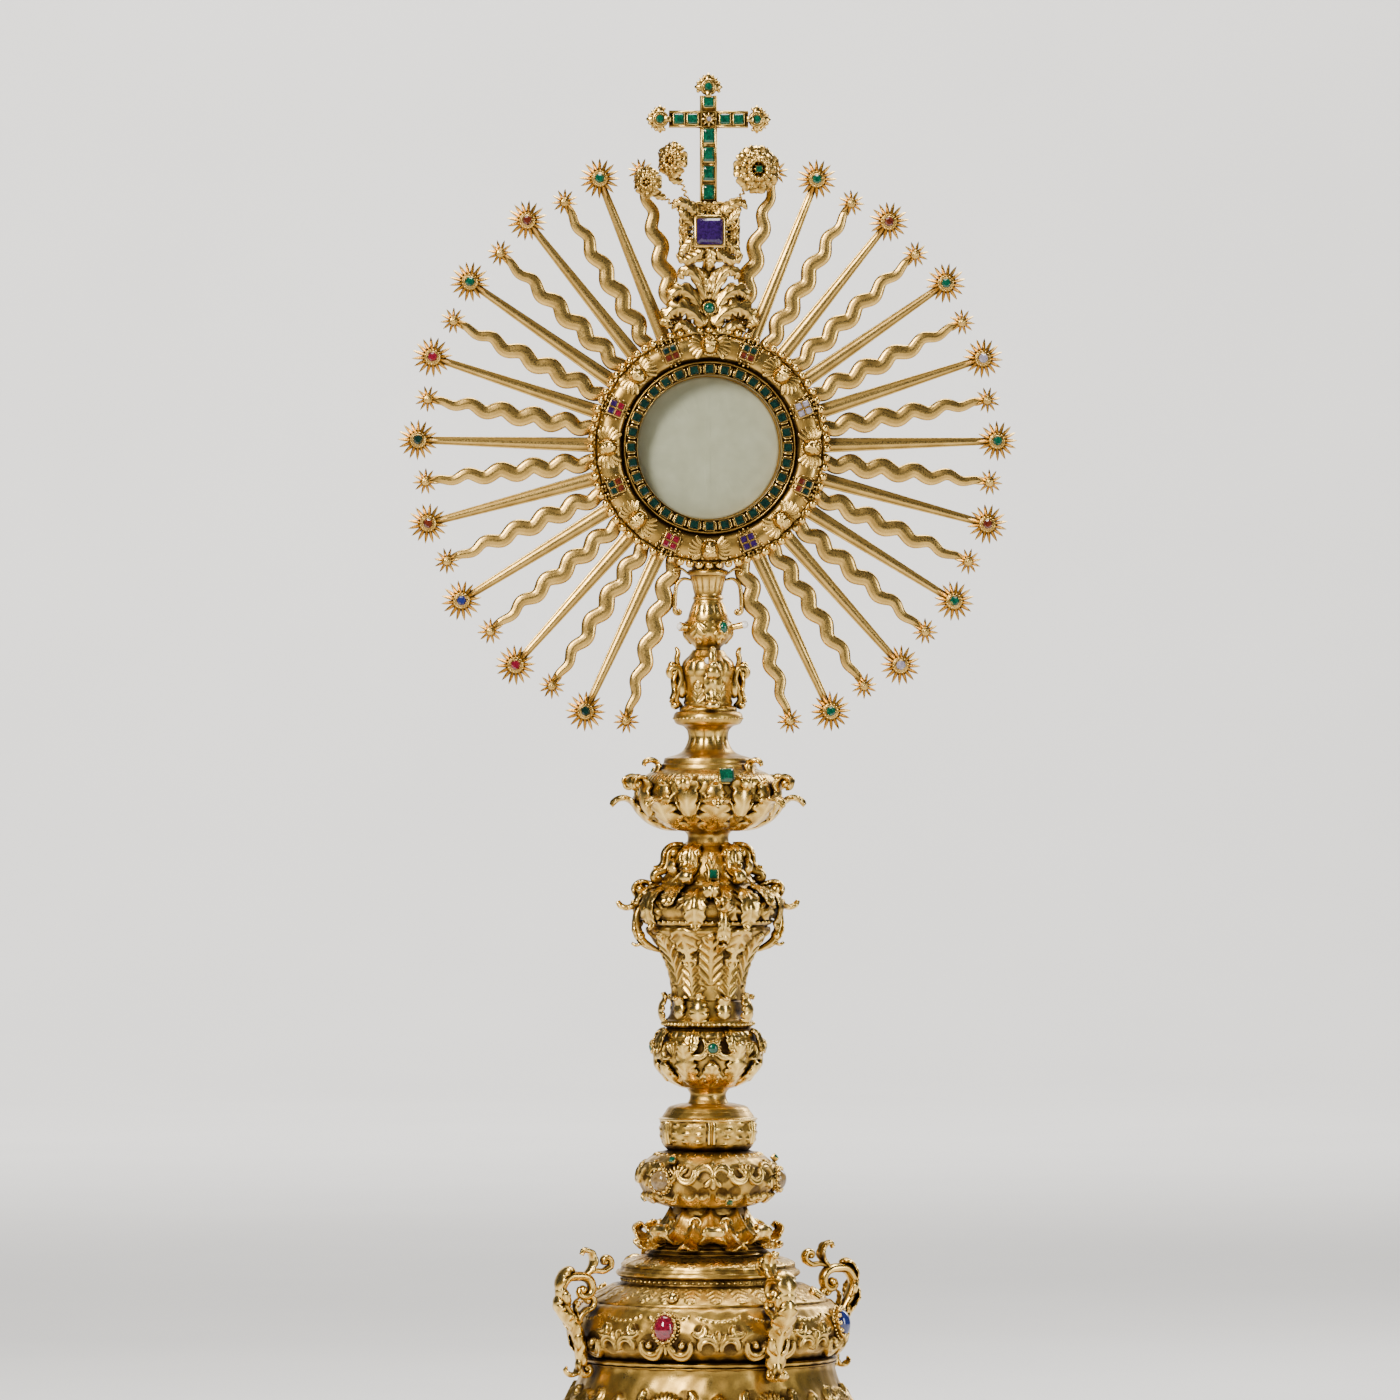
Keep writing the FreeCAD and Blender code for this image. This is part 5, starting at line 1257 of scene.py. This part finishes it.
def blade(middle, widths, heights, section):
    """A bar along the sun's plane with a given section: (across, front) pairs, relief last."""
    section = np.array(section, float)
    n = normals_of(middle)
    across = widths[:, None] / 2 * section[None, :, 0]
    front = heights[:, None] * section[None, :, 1]
    p = np.stack([
        middle[:, :1] + n[:, :1] * across,
        RAY_Y - front,
        middle[:, 1:] + n[:, 1:] * across,
        np.broadcast_to(section[None, :, 2], front.shape),
    ], -1)
    return capped(p)


def build_rays():
    ribbed = [(-1, -0.2, 0.2), (-1, 0.3, 0.5), (-0.9, 0.62, 0.9), (-0.72, 0.5, 0.3), (-0.4, 0.78, 0.5),
        (0, 1.0, 0.95), (0.4, 0.78, 0.5), (0.72, 0.5, 0.3), (0.9, 0.62, 0.9), (1, 0.3, 0.5),
        (1, -0.2, 0.2), (0.5, -0.5, 0.4), (-0.5, -0.5, 0.4)]
    s = np.linspace(0, 1, 24)
    middle = np.stack([RAY_START + s * (LARGE_REACH - RAY_START), 0 * s], -1)
    straight = blade(middle, 8.1 - 4.5 * s, 2.2 - 0.8 * s, ribbed)
    rayed = sunward(straight, [a for a, _ in ray_angles(1)])
    piece("straight_ray_blades", rayed, "rays", "glory", ["straight_rays"])

    soft = [(-1, -0.25, 0.25), (-0.98, 0.2, 0.5), (-0.8, 0.55, 0.75), (-0.5, 0.78, 0.55),
        (-0.24, 0.82, 0.6), (0, 1.0, 0.95), (0.24, 0.82, 0.6), (0.5, 0.78, 0.55), (0.8, 0.55, 0.75),
        (0.98, 0.2, 0.5), (1, -0.25, 0.25), (0.5, -0.5, 0.4), (-0.5, -0.5, 0.4)]
    s = np.linspace(0, 1, 110)
    swing = 2.1 * (1 - 0.35 * s) * np.minimum(1, np.minimum(s * 6, (1 - s) * 5))
    waves = []
    for angle, side in ray_angles(0):
        across = side * swing * np.sin(TAU * 5.5 * s ** 0.94)
        middle = np.stack([RAY_START + s * (SMALL_REACH - RAY_START), across], -1)
        widths = 7.5 + 1.3 * np.sin(np.pi * np.minimum(s / 0.8, 1)) - 4.2 * s ** 4
        waves.append(sunward(blade(middle, widths, 2.4 - 0.9 * s, soft), [angle]))
    piece("wavy_ray_blades", merged(*waves), "rays", "glory", ["wavy_rays"])


def star(count, reach, hub, rise):
    """A star of ridged tapering points round a domed hub, facing along +Z."""
    s = np.linspace(0, 1, 6)
    half = TAU * hub / count / 2 * np.array([0.95, 1.12, 1.08, 0.88, 0.58, 0.08])
    crest = rise * np.array([0.8, 0.72, 0.6, 0.45, 0.3, 0.1])
    x = 0.8 * hub + (reach - 0.8 * hub) * s
    rows = [(half, 0 * s, 0.5), (0 * s, crest, 1.0), (-half, 0 * s, 0.5), (0 * s, -0.45 * crest, 0.3)]
    edges = [np.stack([x, across, lift, 0 * s + relief], -1) for across, lift, relief in rows]
    point = capped(np.stack(edges, 1))
    middle = rings_of(round_outline(hub, 2 * count), [(0.9, -0.4), (1.0, 0.1), (0.92, 0.5 * rise),
        (0.7, 0.85 * rise), (0.4, rise)])
    return merged(middle, *[rotated(point, 2, a) for a in evenly(count)])


def build_stars():
    large = merged(star(16, 10.6, 4.6, 1.7), moved(round_collet(2.3, 1.4, 6), z=1.9),
        beads(circle_points(3.7, 14, 1.3), 0.4))
    large = facing_front(moved(large, LARGE_REACH, 0, -STAR_PLANE))
    piece("large_star_castings", sunward(large, [a for a, _ in ray_angles(1)]), "rays", "glory",
        ["large_stars"], True)
    small = merged(star(11, 7.0, 2.5, 1.3), moved(dome(1.1, 0.8), z=1.1))
    small = facing_front(moved(small, SMALL_REACH, 0, -STAR_PLANE))
    piece("small_star_castings", sunward(small, [a for a, _ in ray_angles(0)]), "rays", "glory",
        ["small_stars"], True)

    right = ["emerald", "garnet", "emerald", "lilac", "emerald", "garnet", "emerald", "lilac", "emerald"]
    left = ["emerald", "garnet", "emerald", "ruby", "dark_emerald", "garnet", "sapphire", "ruby",
        "dark_emerald"]
    gem = rings_of(round_outline(2.45, 8), [(1, 0), (1, 0.5), (0.62, 1.3)])
    gem = facing_front(moved(gem, LARGE_REACH, 0, 2.5 - STAR_PLANE))
    gems = [(finish, sunward(gem, [angle])) for (angle, _), finish in zip(ray_angles(1), right + left)]
    stone_pieces("star_gem", "star_stones", gems)


# ---- capital and finial --------------------------------------------------------------------------
def build_capital():
    z = high("pear_knop")[2]
    outline = [(7.4, 0), None, (8, 0.8), (7.2, 2.4), None, (7.2, 4), (7.6, 8), (9.4, 12.6), None,
        (10.4, 13), (10.8, 14.4), (10.2, 15.6), None, (8.6, 16.4), (8.4, 21)]
    chasing = layered(hammered(0.04), gadroons(14, z + 3, z + 13, 0.7))
    cup = turned(z, outline, chasing, 240, 8, CUP_BORE)
    brace = volute(level(z, [(8.6, 10.4), (13, 11.0), (16.2, 8.0), (17.2, 2.4), (17.4, -4)]),
        ((15.2, z - 5.6), 40, 2.6, -0.7), 3.2, 2.4, 1.2)
    rise = volute(level(z, [(9.6, 13), (13.4, 16.0), (16.8, 16.4)]), ((16.4, z + 14.2), 80, 2.2, -0.7),
        2.8, 2.0, 1.0)
    side = merged(brace, rise, scaled(brace, x=-1), scaled(rise, x=-1))
    tang = rings_of(clipped_square(6.0, 6.0, 0.05), level(z, [(0.9, -36), (1, -35), (1, 4)]))
    tenon = moved(rings_of(round_outline(TENON, 16), [(1, z + 18), (1, SUN - TENON_REACH)]), y=TENON_Y)
    casting("capital_casting", "capital", cup, side, tang, tenon, body="glory")


def build_finial():
    bottom = SUN + 56.5

    def pair(shape):
        return merged(shape, scaled(shape, x=-1))
    growth = [
        ([(2, 7), (8, 13.6), (15, 16.4), (21, 13.4), (22.6, 8), (19, 6)], 10.5, 7, 1.4, 1.6, -4.6),
        ([(3, 13), (8, 22), (14.6, 25.6), (19.6, 22.6), (18.4, 19)], 9.0, 6, 1.3, 1.4, -3.4),
        ([(1.4, 20), (4.6, 30), (10, 36), (14.4, 33.6), (13.2, 30.8)], 7.6, 5, 1.2, 1.2, -4.2),
        ([(1.0, 2.4), (8, 3.4), (14, 7.4), (19, 3.4)], 7.0, 5, 1.2, 1.2, -5.4),
        ([(0.6, 24), (2.0, 32), (6.4, 37.4)], 5.4, 4, 1.1, 1.2, -5.6),
    ]
    fronds = [moved(frond(level(bottom, path), *sizes), y=depth) for path, *sizes, depth in growth]
    fronds = pair(merged(*fronds))
    foot_scroll = pair(volute(level(bottom, [(3, 9), (9, 14), (15.6, 15.6), (20.6, 12)]),
        ((18.2, bottom + 8.6), 55, 4.0, -0.85), 3.4, 2.0, 1.6))
    low_scroll = pair(volute(level(bottom, [(4, 5), (10, 3.8), (13, 6.6)]),
        ((10.6, bottom + 8.6), -40, 2.8, 0.8), 3.0, 1.8, 1.2))
    side_leaf = pair(leaf(level(bottom, [(5, 12), (11, 20), (17, 22.6), (21, 19.6)]), 7.4, 5, 1.1, 0.3,
        0.8))
    up_leaf = pair(leaf(level(bottom, [(2, 14), (5.2, 24), (8.6, 32), (12.6, 35), (14, 32.6)]), 7.0, 5,
        1.1, 0.3, 0.8))
    spine_leaf = rotated(leaf(level(bottom, [(1.6, 4), (3.6, 16), (2.8, 28), (4.6, 40), (7, 42)]), 9.6,
        7, 1.2, 0.3, 0.9), 2, -90)
    core = rings_of(round_outline(4.6, 20), level(bottom, [(1.5, -1.6), (1.5, 2), (1.1, 6), (1.25, 12),
        (0.8, 22), (0.7, 40)]))
    tenon = moved(rings_of(round_outline(TENON, 16), [(1, SUN + TENON_REACH), (1, bottom + 3)]),
        y=TENON_Y - FINIAL_Y)
    seat = facing_front(moved(round_collet(2.9, 4, 8), 0, bottom + 16, 6.4))
    whole = merged(fronds, foot_scroll, low_scroll, side_leaf, up_leaf, spine_leaf, core, tenon, seat)
    casting("finial_foliage", "finial_base", moved(whole, y=FINIAL_Y), body="glory")
    piece("finial_round_emerald", moved(facing_front(moved(dome(2.8, 2.0), 0, bottom + 16, 6.7)),
        y=FINIAL_Y), "emerald", "glory", ["finial_emeralds"])

    gem_z = middle_of("amethyst")[2]
    back = -low("amethyst_setting")[1]
    box = facing_front(moved(square_collet(13.8, 13.8, 4.0, 1.2), 0, 0, back))
    rims = facing_front(moved(beads(rectangle_points(17.6, 17.6, 13), 0.62), z=back - 1.2))
    scroll_work = []
    for quarter in range(4):
        for flip in (1, -1):
            c_scroll = volute([(8.4, 1.2), (12.4, 1.6), (15.0, 5.0), (13.6, 9.4)],
                ((11.2, 8.4), 20, 2.6, 0.85), 3.4, 2.2, 1.2)
            spray = moved(frond([(8.2, 3.6), (12, 7.4), (14.6, 11.6), (13.4, 14.0)], 5.4, 5, 1.0, 0.9),
                y=-1.0)
            bud = moved(ball(1.1, 10, 8), 14.8, -0.8, 2.4)
            half = scaled(merged(c_scroll, spray, bud), z=flip)
            scroll_work.append(rotated(half, 1, 90 * quarter))
    band = facing_front(lathe([(9.4, -1), (10.6, 1.4), (12.6, 2.4), (14.8, 1.6), (16.4, -0.6), None,
        (13, -1.4), None, (9.4, -1)], crumpled, 300, 8))
    tip = moved(frond([(8.6, 0), (13, 0.6), (17.0, 0), (18.6, -1)], 6.6, 5, 1.0, 1.0, blunt=0.0), y=-2.2)
    scroll_work += [scaled(band, z=0.96), rotated(tip, 1, 90)]
    frame_work = moved(merged(*scroll_work), y=-back + 2.6)
    stalk = rings_of(round_outline(3.2, 16), [(1, -20), (0.8, -10), (1, 10), (1.1, 14)])
    sprig = moved(frond([(7, 9), (11, 13.6), (16.4, 15.2), (19.6, 11.6)], 6.6, 6, 1.1, 1.2),
        y=-back + 1.2)
    drop = moved(frond([(3, -9), (7.6, -12.8), (13.4, -14.8), (17.4, -11.6)], 6.6, 6, 1.1, 1.2),
        y=-back + 1.4)
    hanging = [scaled(shape, x=side) for shape in (sprig, drop) for side in (-1, 1)]
    cartouche = merged(box, rims, frame_work, moved(stalk, y=-back + 6.2), *hanging)
    casting("amethyst_cartouche", "amethyst_setting", moved(cartouche, z=gem_z), body="glory")
    piece("amethyst_stone", moved(facing_front(moved(step_cut(13.4, 13.4, 3.6), 0, 0, back)), z=gem_z),
        "amethyst", "glory", ["amethyst"], True)


def build_cross():
    """A channelled Latin cross set with table-cut emeralds, with pierced trefoil ends."""
    half, deep = 4.5, 2.5
    _, front, foot = low("cross")
    face = -front
    crossing = 735.8
    head = crossing + 12.2
    section = [(-1, -1), (-1, 0.45), (-0.9, 1.0), (-0.76, 1.0), (-0.7, 0.55), (0.7, 0.55), (0.76, 1.0),
        (0.9, 1.0), (1, 0.45), (1, -1)]

    def bar(length):
        ring = np.array([(0, -v * deep, u * half) for u, v in section])
        stack = np.array([ring, ring + (length, 0, 0)])
        return capped(points(stack))
    upright = moved(rotated(bar(head - foot), 1, -90), z=foot)
    arm, out = 20.6, 4.6
    arms = [scaled(moved(rotated(bar(arm), 1, 180 * k), z=crossing), y=0.95) for k in range(2)]
    ends = []
    eye = tube(spiral((0, 0), 0, 1.3, 1.0, 1.0, 16), 0.8, 0.7)
    lobe = merged(scaled(rings_of(round_outline(2.0, 10), [(1.2, 2.4), (1.15, 4.4), (0.8, 5.8),
        (0.12, 7.4)]), y=0.6), *[moved(scaled(ball(1.0, 10, 6), y=1.1), x, 0, 5.4) for x in (-2.1, 2.1)])
    spike = scaled(rings_of(round_outline(1.2, 8), [(1.2, 2.6), (1.0, 4.6), (0.12, 6.8)]), y=0.7)
    trefoil = merged(
        tube(spiral((out, 0), 180, 3.3, 1.0, 1.0, 30), 1.8, 1.3),
        rotated(rings_of(clipped_square(3.2, 6.4, 0.2), [(1, -0.8), (0.8, 0.6), (1.1, 2.6)]), 1, 90),
        *[moved(rotated(lobe, 1, a), x=out) for a in (0, 90, 180)],
        *[moved(rotated(spike, 1, a), x=out) for a in (45, 135)],
        *[moved(rotated(moved(eye, z=4.3), 1, a), x=out) for a in (22.5, 67.5, 112.5, 157.5)],
    )
    gem_seat = facing_front(moved(round_collet(2.3, 2.0, 6), out, 0, 1.2))
    for x, z, turn in ((arm, crossing, 0), (-arm, crossing, 180), (0, head, 90)):
        ends.append(moved(rotated(merged(trefoil, gem_seat), 1, -turn), x=x, z=z))
    sides = [(0, crossing + 8.8, 5.4, 5.4)] + [(x, crossing, 5.4, 5.4) for x in (-15.6, -8.4, 8.4, 15.6)]
    down = [(0, crossing - 8.6 - 9.8 * k, 5.8, 7.6) for k in range(4)]
    seat_z = face + FINIAL_Y - 0.5
    seats = [facing_front(moved(square_collet(w, h, 1.0, 0.35), x, z, seat_z))
        for x, z, w, h in sides + down]
    rosette = facing_front(moved(merged(star(8, 4.2, 2.2, 0.9), moved(round_collet(1.3, 1, 6), z=1.0)),
        0, crossing, face + FINIAL_Y + 0.2))
    whole = merged(upright, *arms, *ends, *seats, rosette)
    casting("jewelled_cross", "cross", moved(whole, y=FINIAL_Y), body="glory")
    gems = [facing_front(moved(step_cut(w - 0.2, h - 0.2, 1.2), x, z, face - 0.5))
        for x, z, w, h in sides + down]
    end_gem = rings_of(round_outline(2.2, 8), [(1, 0), (1, 0.5), (0.6, 1.2)])
    places = [(arm + out, crossing), (-arm - out, crossing), (0, head + out)]
    gems += [facing_front(moved(end_gem, x, z, 1.6 - FINIAL_Y)) for x, z in places]
    piece("cross_emeralds", merged(*gems), "emerald", "glory", flat=True)
    middle = rings_of(round_outline(1.25, 8), [(1, 0), (1, 0.4), (0.6, 1.0)])
    middle = facing_front(moved(middle, 0, crossing, face + 1.6))
    piece("crossing_stone", middle, "lilac", "glory", flat=True)


# ---- blossoms ------------------------------------------------------------------------------------
def blossom(radius, petals):
    """Cupped layers of petals round a knot of stamens, facing along +Z."""
    shapes = []
    for layer in range(3):
        reach = radius * (1 - 0.24 * layer)
        rise = radius * (0.10 + 0.16 * layer)
        petal = leaf([(0.12 * radius, rise * 0.3), (0.45 * reach, rise * 0.7 + 0.2),
            (0.78 * reach, rise + 0.12 * radius), (reach, rise - 0.04 * radius)], reach * 6.6 / petals,
            3, 0.9, 0.34, 0.8, blunt=0.5, waves=0.2, taper=0.6)
        turn = 180.0 / petals * layer
        shapes.append(merged(*[rotated(petal, 2, a + turn) for a in evenly(petals)]))
    knot = beads(circle_points(0.12 * radius, 6, 0.42 * radius), 0.085 * radius)
    shapes += [knot, moved(ball(0.12 * radius), z=0.5 * radius),
        moved(scaled(ball(0.3 * radius), z=0.5), z=0.02 * radius)]
    return merged(*shapes)


def coil(start, end, radius, turns, wire):
    """A wire stem wound like a spring from start to end."""
    start, end = np.array(start, float), np.array(end, float)
    along = end - start
    length = np.linalg.norm(along)
    w = along / length
    u = np.cross(w, (0, 1, 0))
    u /= np.linalg.norm(u)
    v = np.cross(w, u)
    t = np.linspace(0, 1, int(turns * 14))
    open_up = np.minimum(1, np.minimum(t, 1 - t) / 0.25)[:, None]
    a = TAU * turns * t[:, None]
    middle = start + t[:, None] * along + radius * open_up * (np.cos(a) * u + np.sin(a) * v)
    tangent = np.gradient(middle, axis=0)
    tangent /= np.linalg.norm(tangent, axis=1, keepdims=True)
    side = np.cross(tangent, w + 0.001)
    side /= np.maximum(np.linalg.norm(side, axis=1, keepdims=True), 1e-6)
    other = np.cross(tangent, side)
    phi = np.linspace(0, TAU, 6, endpoint=False)
    ring = middle[:, None] + wire * (np.cos(phi)[None, :, None] * side[:, None]
        + np.sin(phi)[None, :, None] * other[:, None])
    return capped(points(ring))


def build_blossoms():
    for place, radius, petals, lean, gem in (
        ("left_high", 8.6, 6, -38, False), ("left_low", 7.2, 6, -25, False), ("right", 12.0, 8, 14, True),
    ):
        body, node = f"blossom_{place}", f"flower_{place}"
        joint = next(j for j in frame["joints"] if j["child"] == body)
        root = np.array(joint["pos_m"]) / MM
        lo, hi = low(node), high(node)
        side = 1 if root[0] > 0 else -1
        across = radius * math.cos(math.radians(lean))
        head = np.array([hi[0] - across if side > 0 else lo[0] + across, root[1] - 2.0, hi[2] - radius])
        way = (head - root) / np.linalg.norm(head - root)
        flower = moved(rotated(facing_front(moved(blossom(radius, petals), z=-0.4)), 2, lean), *head)
        stem = coil(root + 1.9 * way, head + (0, 0.6, 0) - 0.5 * way, 0.9, 8, 0.55)
        sepal = frond([(0, 0), (3.0, 2.0), (6.4, 2.2), (8.2, 0.4)], 4.4, 5, 0.9, 0.8)
        middle = root + 0.55 * (head - root)
        foliage = moved(rotated(sepal, 1, -50 if side > 0 else -130), *middle)
        casting(f"{body}_casting", node, flower, stem, foliage, body=body)
        if gem:
            jewel = moved(rotated(facing_front(moved(step_cut(3.4, 3.4, 1.6), z=0.5 * radius)), 2, lean),
                *head)
            piece("blossom_emerald", jewel, "emerald", body, flat=True)


# ---- plain nodes that keep their CAD shape -------------------------------------------------------
def finish_cad_nodes():
    kept = {
        "plain": ["ray_ring", "case_tube", "rear_cover", "door_frame", "latch_button", "host_holder",
                  "cover_screws", "hinge_pin"],
        "iron": ["tie_rod", "tie_washer", "tie_nut"],
        "glass": ["front_glass", "door_glass"],
    }
    for finish, nodes in kept.items():
        for node in nodes:
            finish_node(node, finish)


# ---- stage ---------------------------------------------------------------------------------------
def stage_piece(name, verts, faces, colour):
    mesh = bpy.data.meshes.new(name)
    mesh.from_pydata(verts, [], faces)
    mesh.polygons.foreach_set("use_smooth", [True] * len(faces))
    made, tree, shader = new_material(name)
    tree.links.new(ramp(tree, noise(tree, 3, 3), [(0.3, colour),
        (0.7, tuple(c * 1.04 for c in colour))]), shader.inputs["Base Color"])
    shader.inputs["Roughness"].default_value = 0.75
    mesh.materials.append(made)
    shown = bpy.data.objects.new(name, mesh)
    bpy.context.scene.collection.objects.link(shown)


def build_stage():
    """A pale floor that curves up into a pale wall behind the object."""
    wide = 9.0
    bend, rise = 6.6, 1.2
    profile = [(-9.0, 0.0), (bend - rise, 0.0)]
    profile += [(bend - rise + rise * math.sin(a), rise - rise * math.cos(a))
        for a in np.linspace(0, math.pi / 2, 16)[1:]]
    profile += [(bend, 6.0)]
    verts = [(x, y, z - 0.0004) for y, z in profile for x in (-wide, wide)]
    faces = [(2 * k, 2 * k + 1, 2 * k + 3, 2 * k + 2) for k in range(len(profile) - 1)]
    stage_piece("floor", verts, faces, (0.74, 0.72, 0.69))


def area_light(name, place, target, size, power, colour=(1, 1, 1)):
    light = bpy.data.lights.new(name, "AREA")
    light.shape = "RECTANGLE"
    light.size, light.size_y = size
    light.energy = power
    light.color = colour
    made = bpy.data.objects.new(name, light)
    made.location = place
    away = Vector(target) - Vector(place)
    made.rotation_euler = away.to_track_quat("-Z", "Y").to_euler()
    bpy.context.scene.collection.objects.link(made)


def build_light():
    world = bpy.data.worlds.new("studio")
    world.use_nodes = True
    world.node_tree.nodes["Background"].inputs["Color"].default_value = (0.78, 0.80, 0.84, 1)
    world.node_tree.nodes["Background"].inputs["Strength"].default_value = 0.09
    bpy.context.scene.world = world
    middle = (0, 0, 0.42)
    area_light("key", (-1.2, -1.8, 1.6), middle, (0.7, 1.1), 100, (1.0, 0.965, 0.91))
    area_light("fill", (1.7, -1.4, 0.7), middle, (0.4, 1.2), 24, (0.95, 0.975, 1.0))
    area_light("top", (0.1, 0.3, 2.0), middle, (1.0, 0.8), 34)
    area_light("rim", (1.2, 1.2, 1.3), middle, (0.5, 1.2), 26)
    area_light("wall", (0.0, 3.6, 3.0), (0, 6.6, 0.9), (5.0, 1.0), 330)
    area_light("floor", (0.0, 0.6, 2.8), (0, 1.0, 0), (1.6, 1.6), 40)


def build_camera():
    """A long lens from nearly level with the stem's middle, a little to the left, cutting the foot off."""
    across = 0.728
    distance = 4.888
    height = 0.434
    yaw = math.radians(-4.0)
    aim_x = -0.0042
    camera = bpy.data.cameras.new("camera")
    camera.lens = camera.sensor_width * distance / across
    camera.clip_end = 30
    made = bpy.data.objects.new("camera", camera)
    made.location = (aim_x + distance * math.sin(yaw), -distance * math.cos(yaw), height)
    made.rotation_euler = (math.radians(90), 0, yaw)
    bpy.context.scene.collection.objects.link(made)
    bpy.context.scene.camera = made


build_camera()
build_light()
build_stage()
build_foot()
build_foot_scrolls()
build_lower_stem()
build_upper_stem()
build_drum_and_pear()
build_ring()
build_bezel()
build_cherubs()
build_host()
build_rays()
build_stars()
build_capital()
build_finial()
build_cross()
build_blossoms()
finish_cad_nodes()
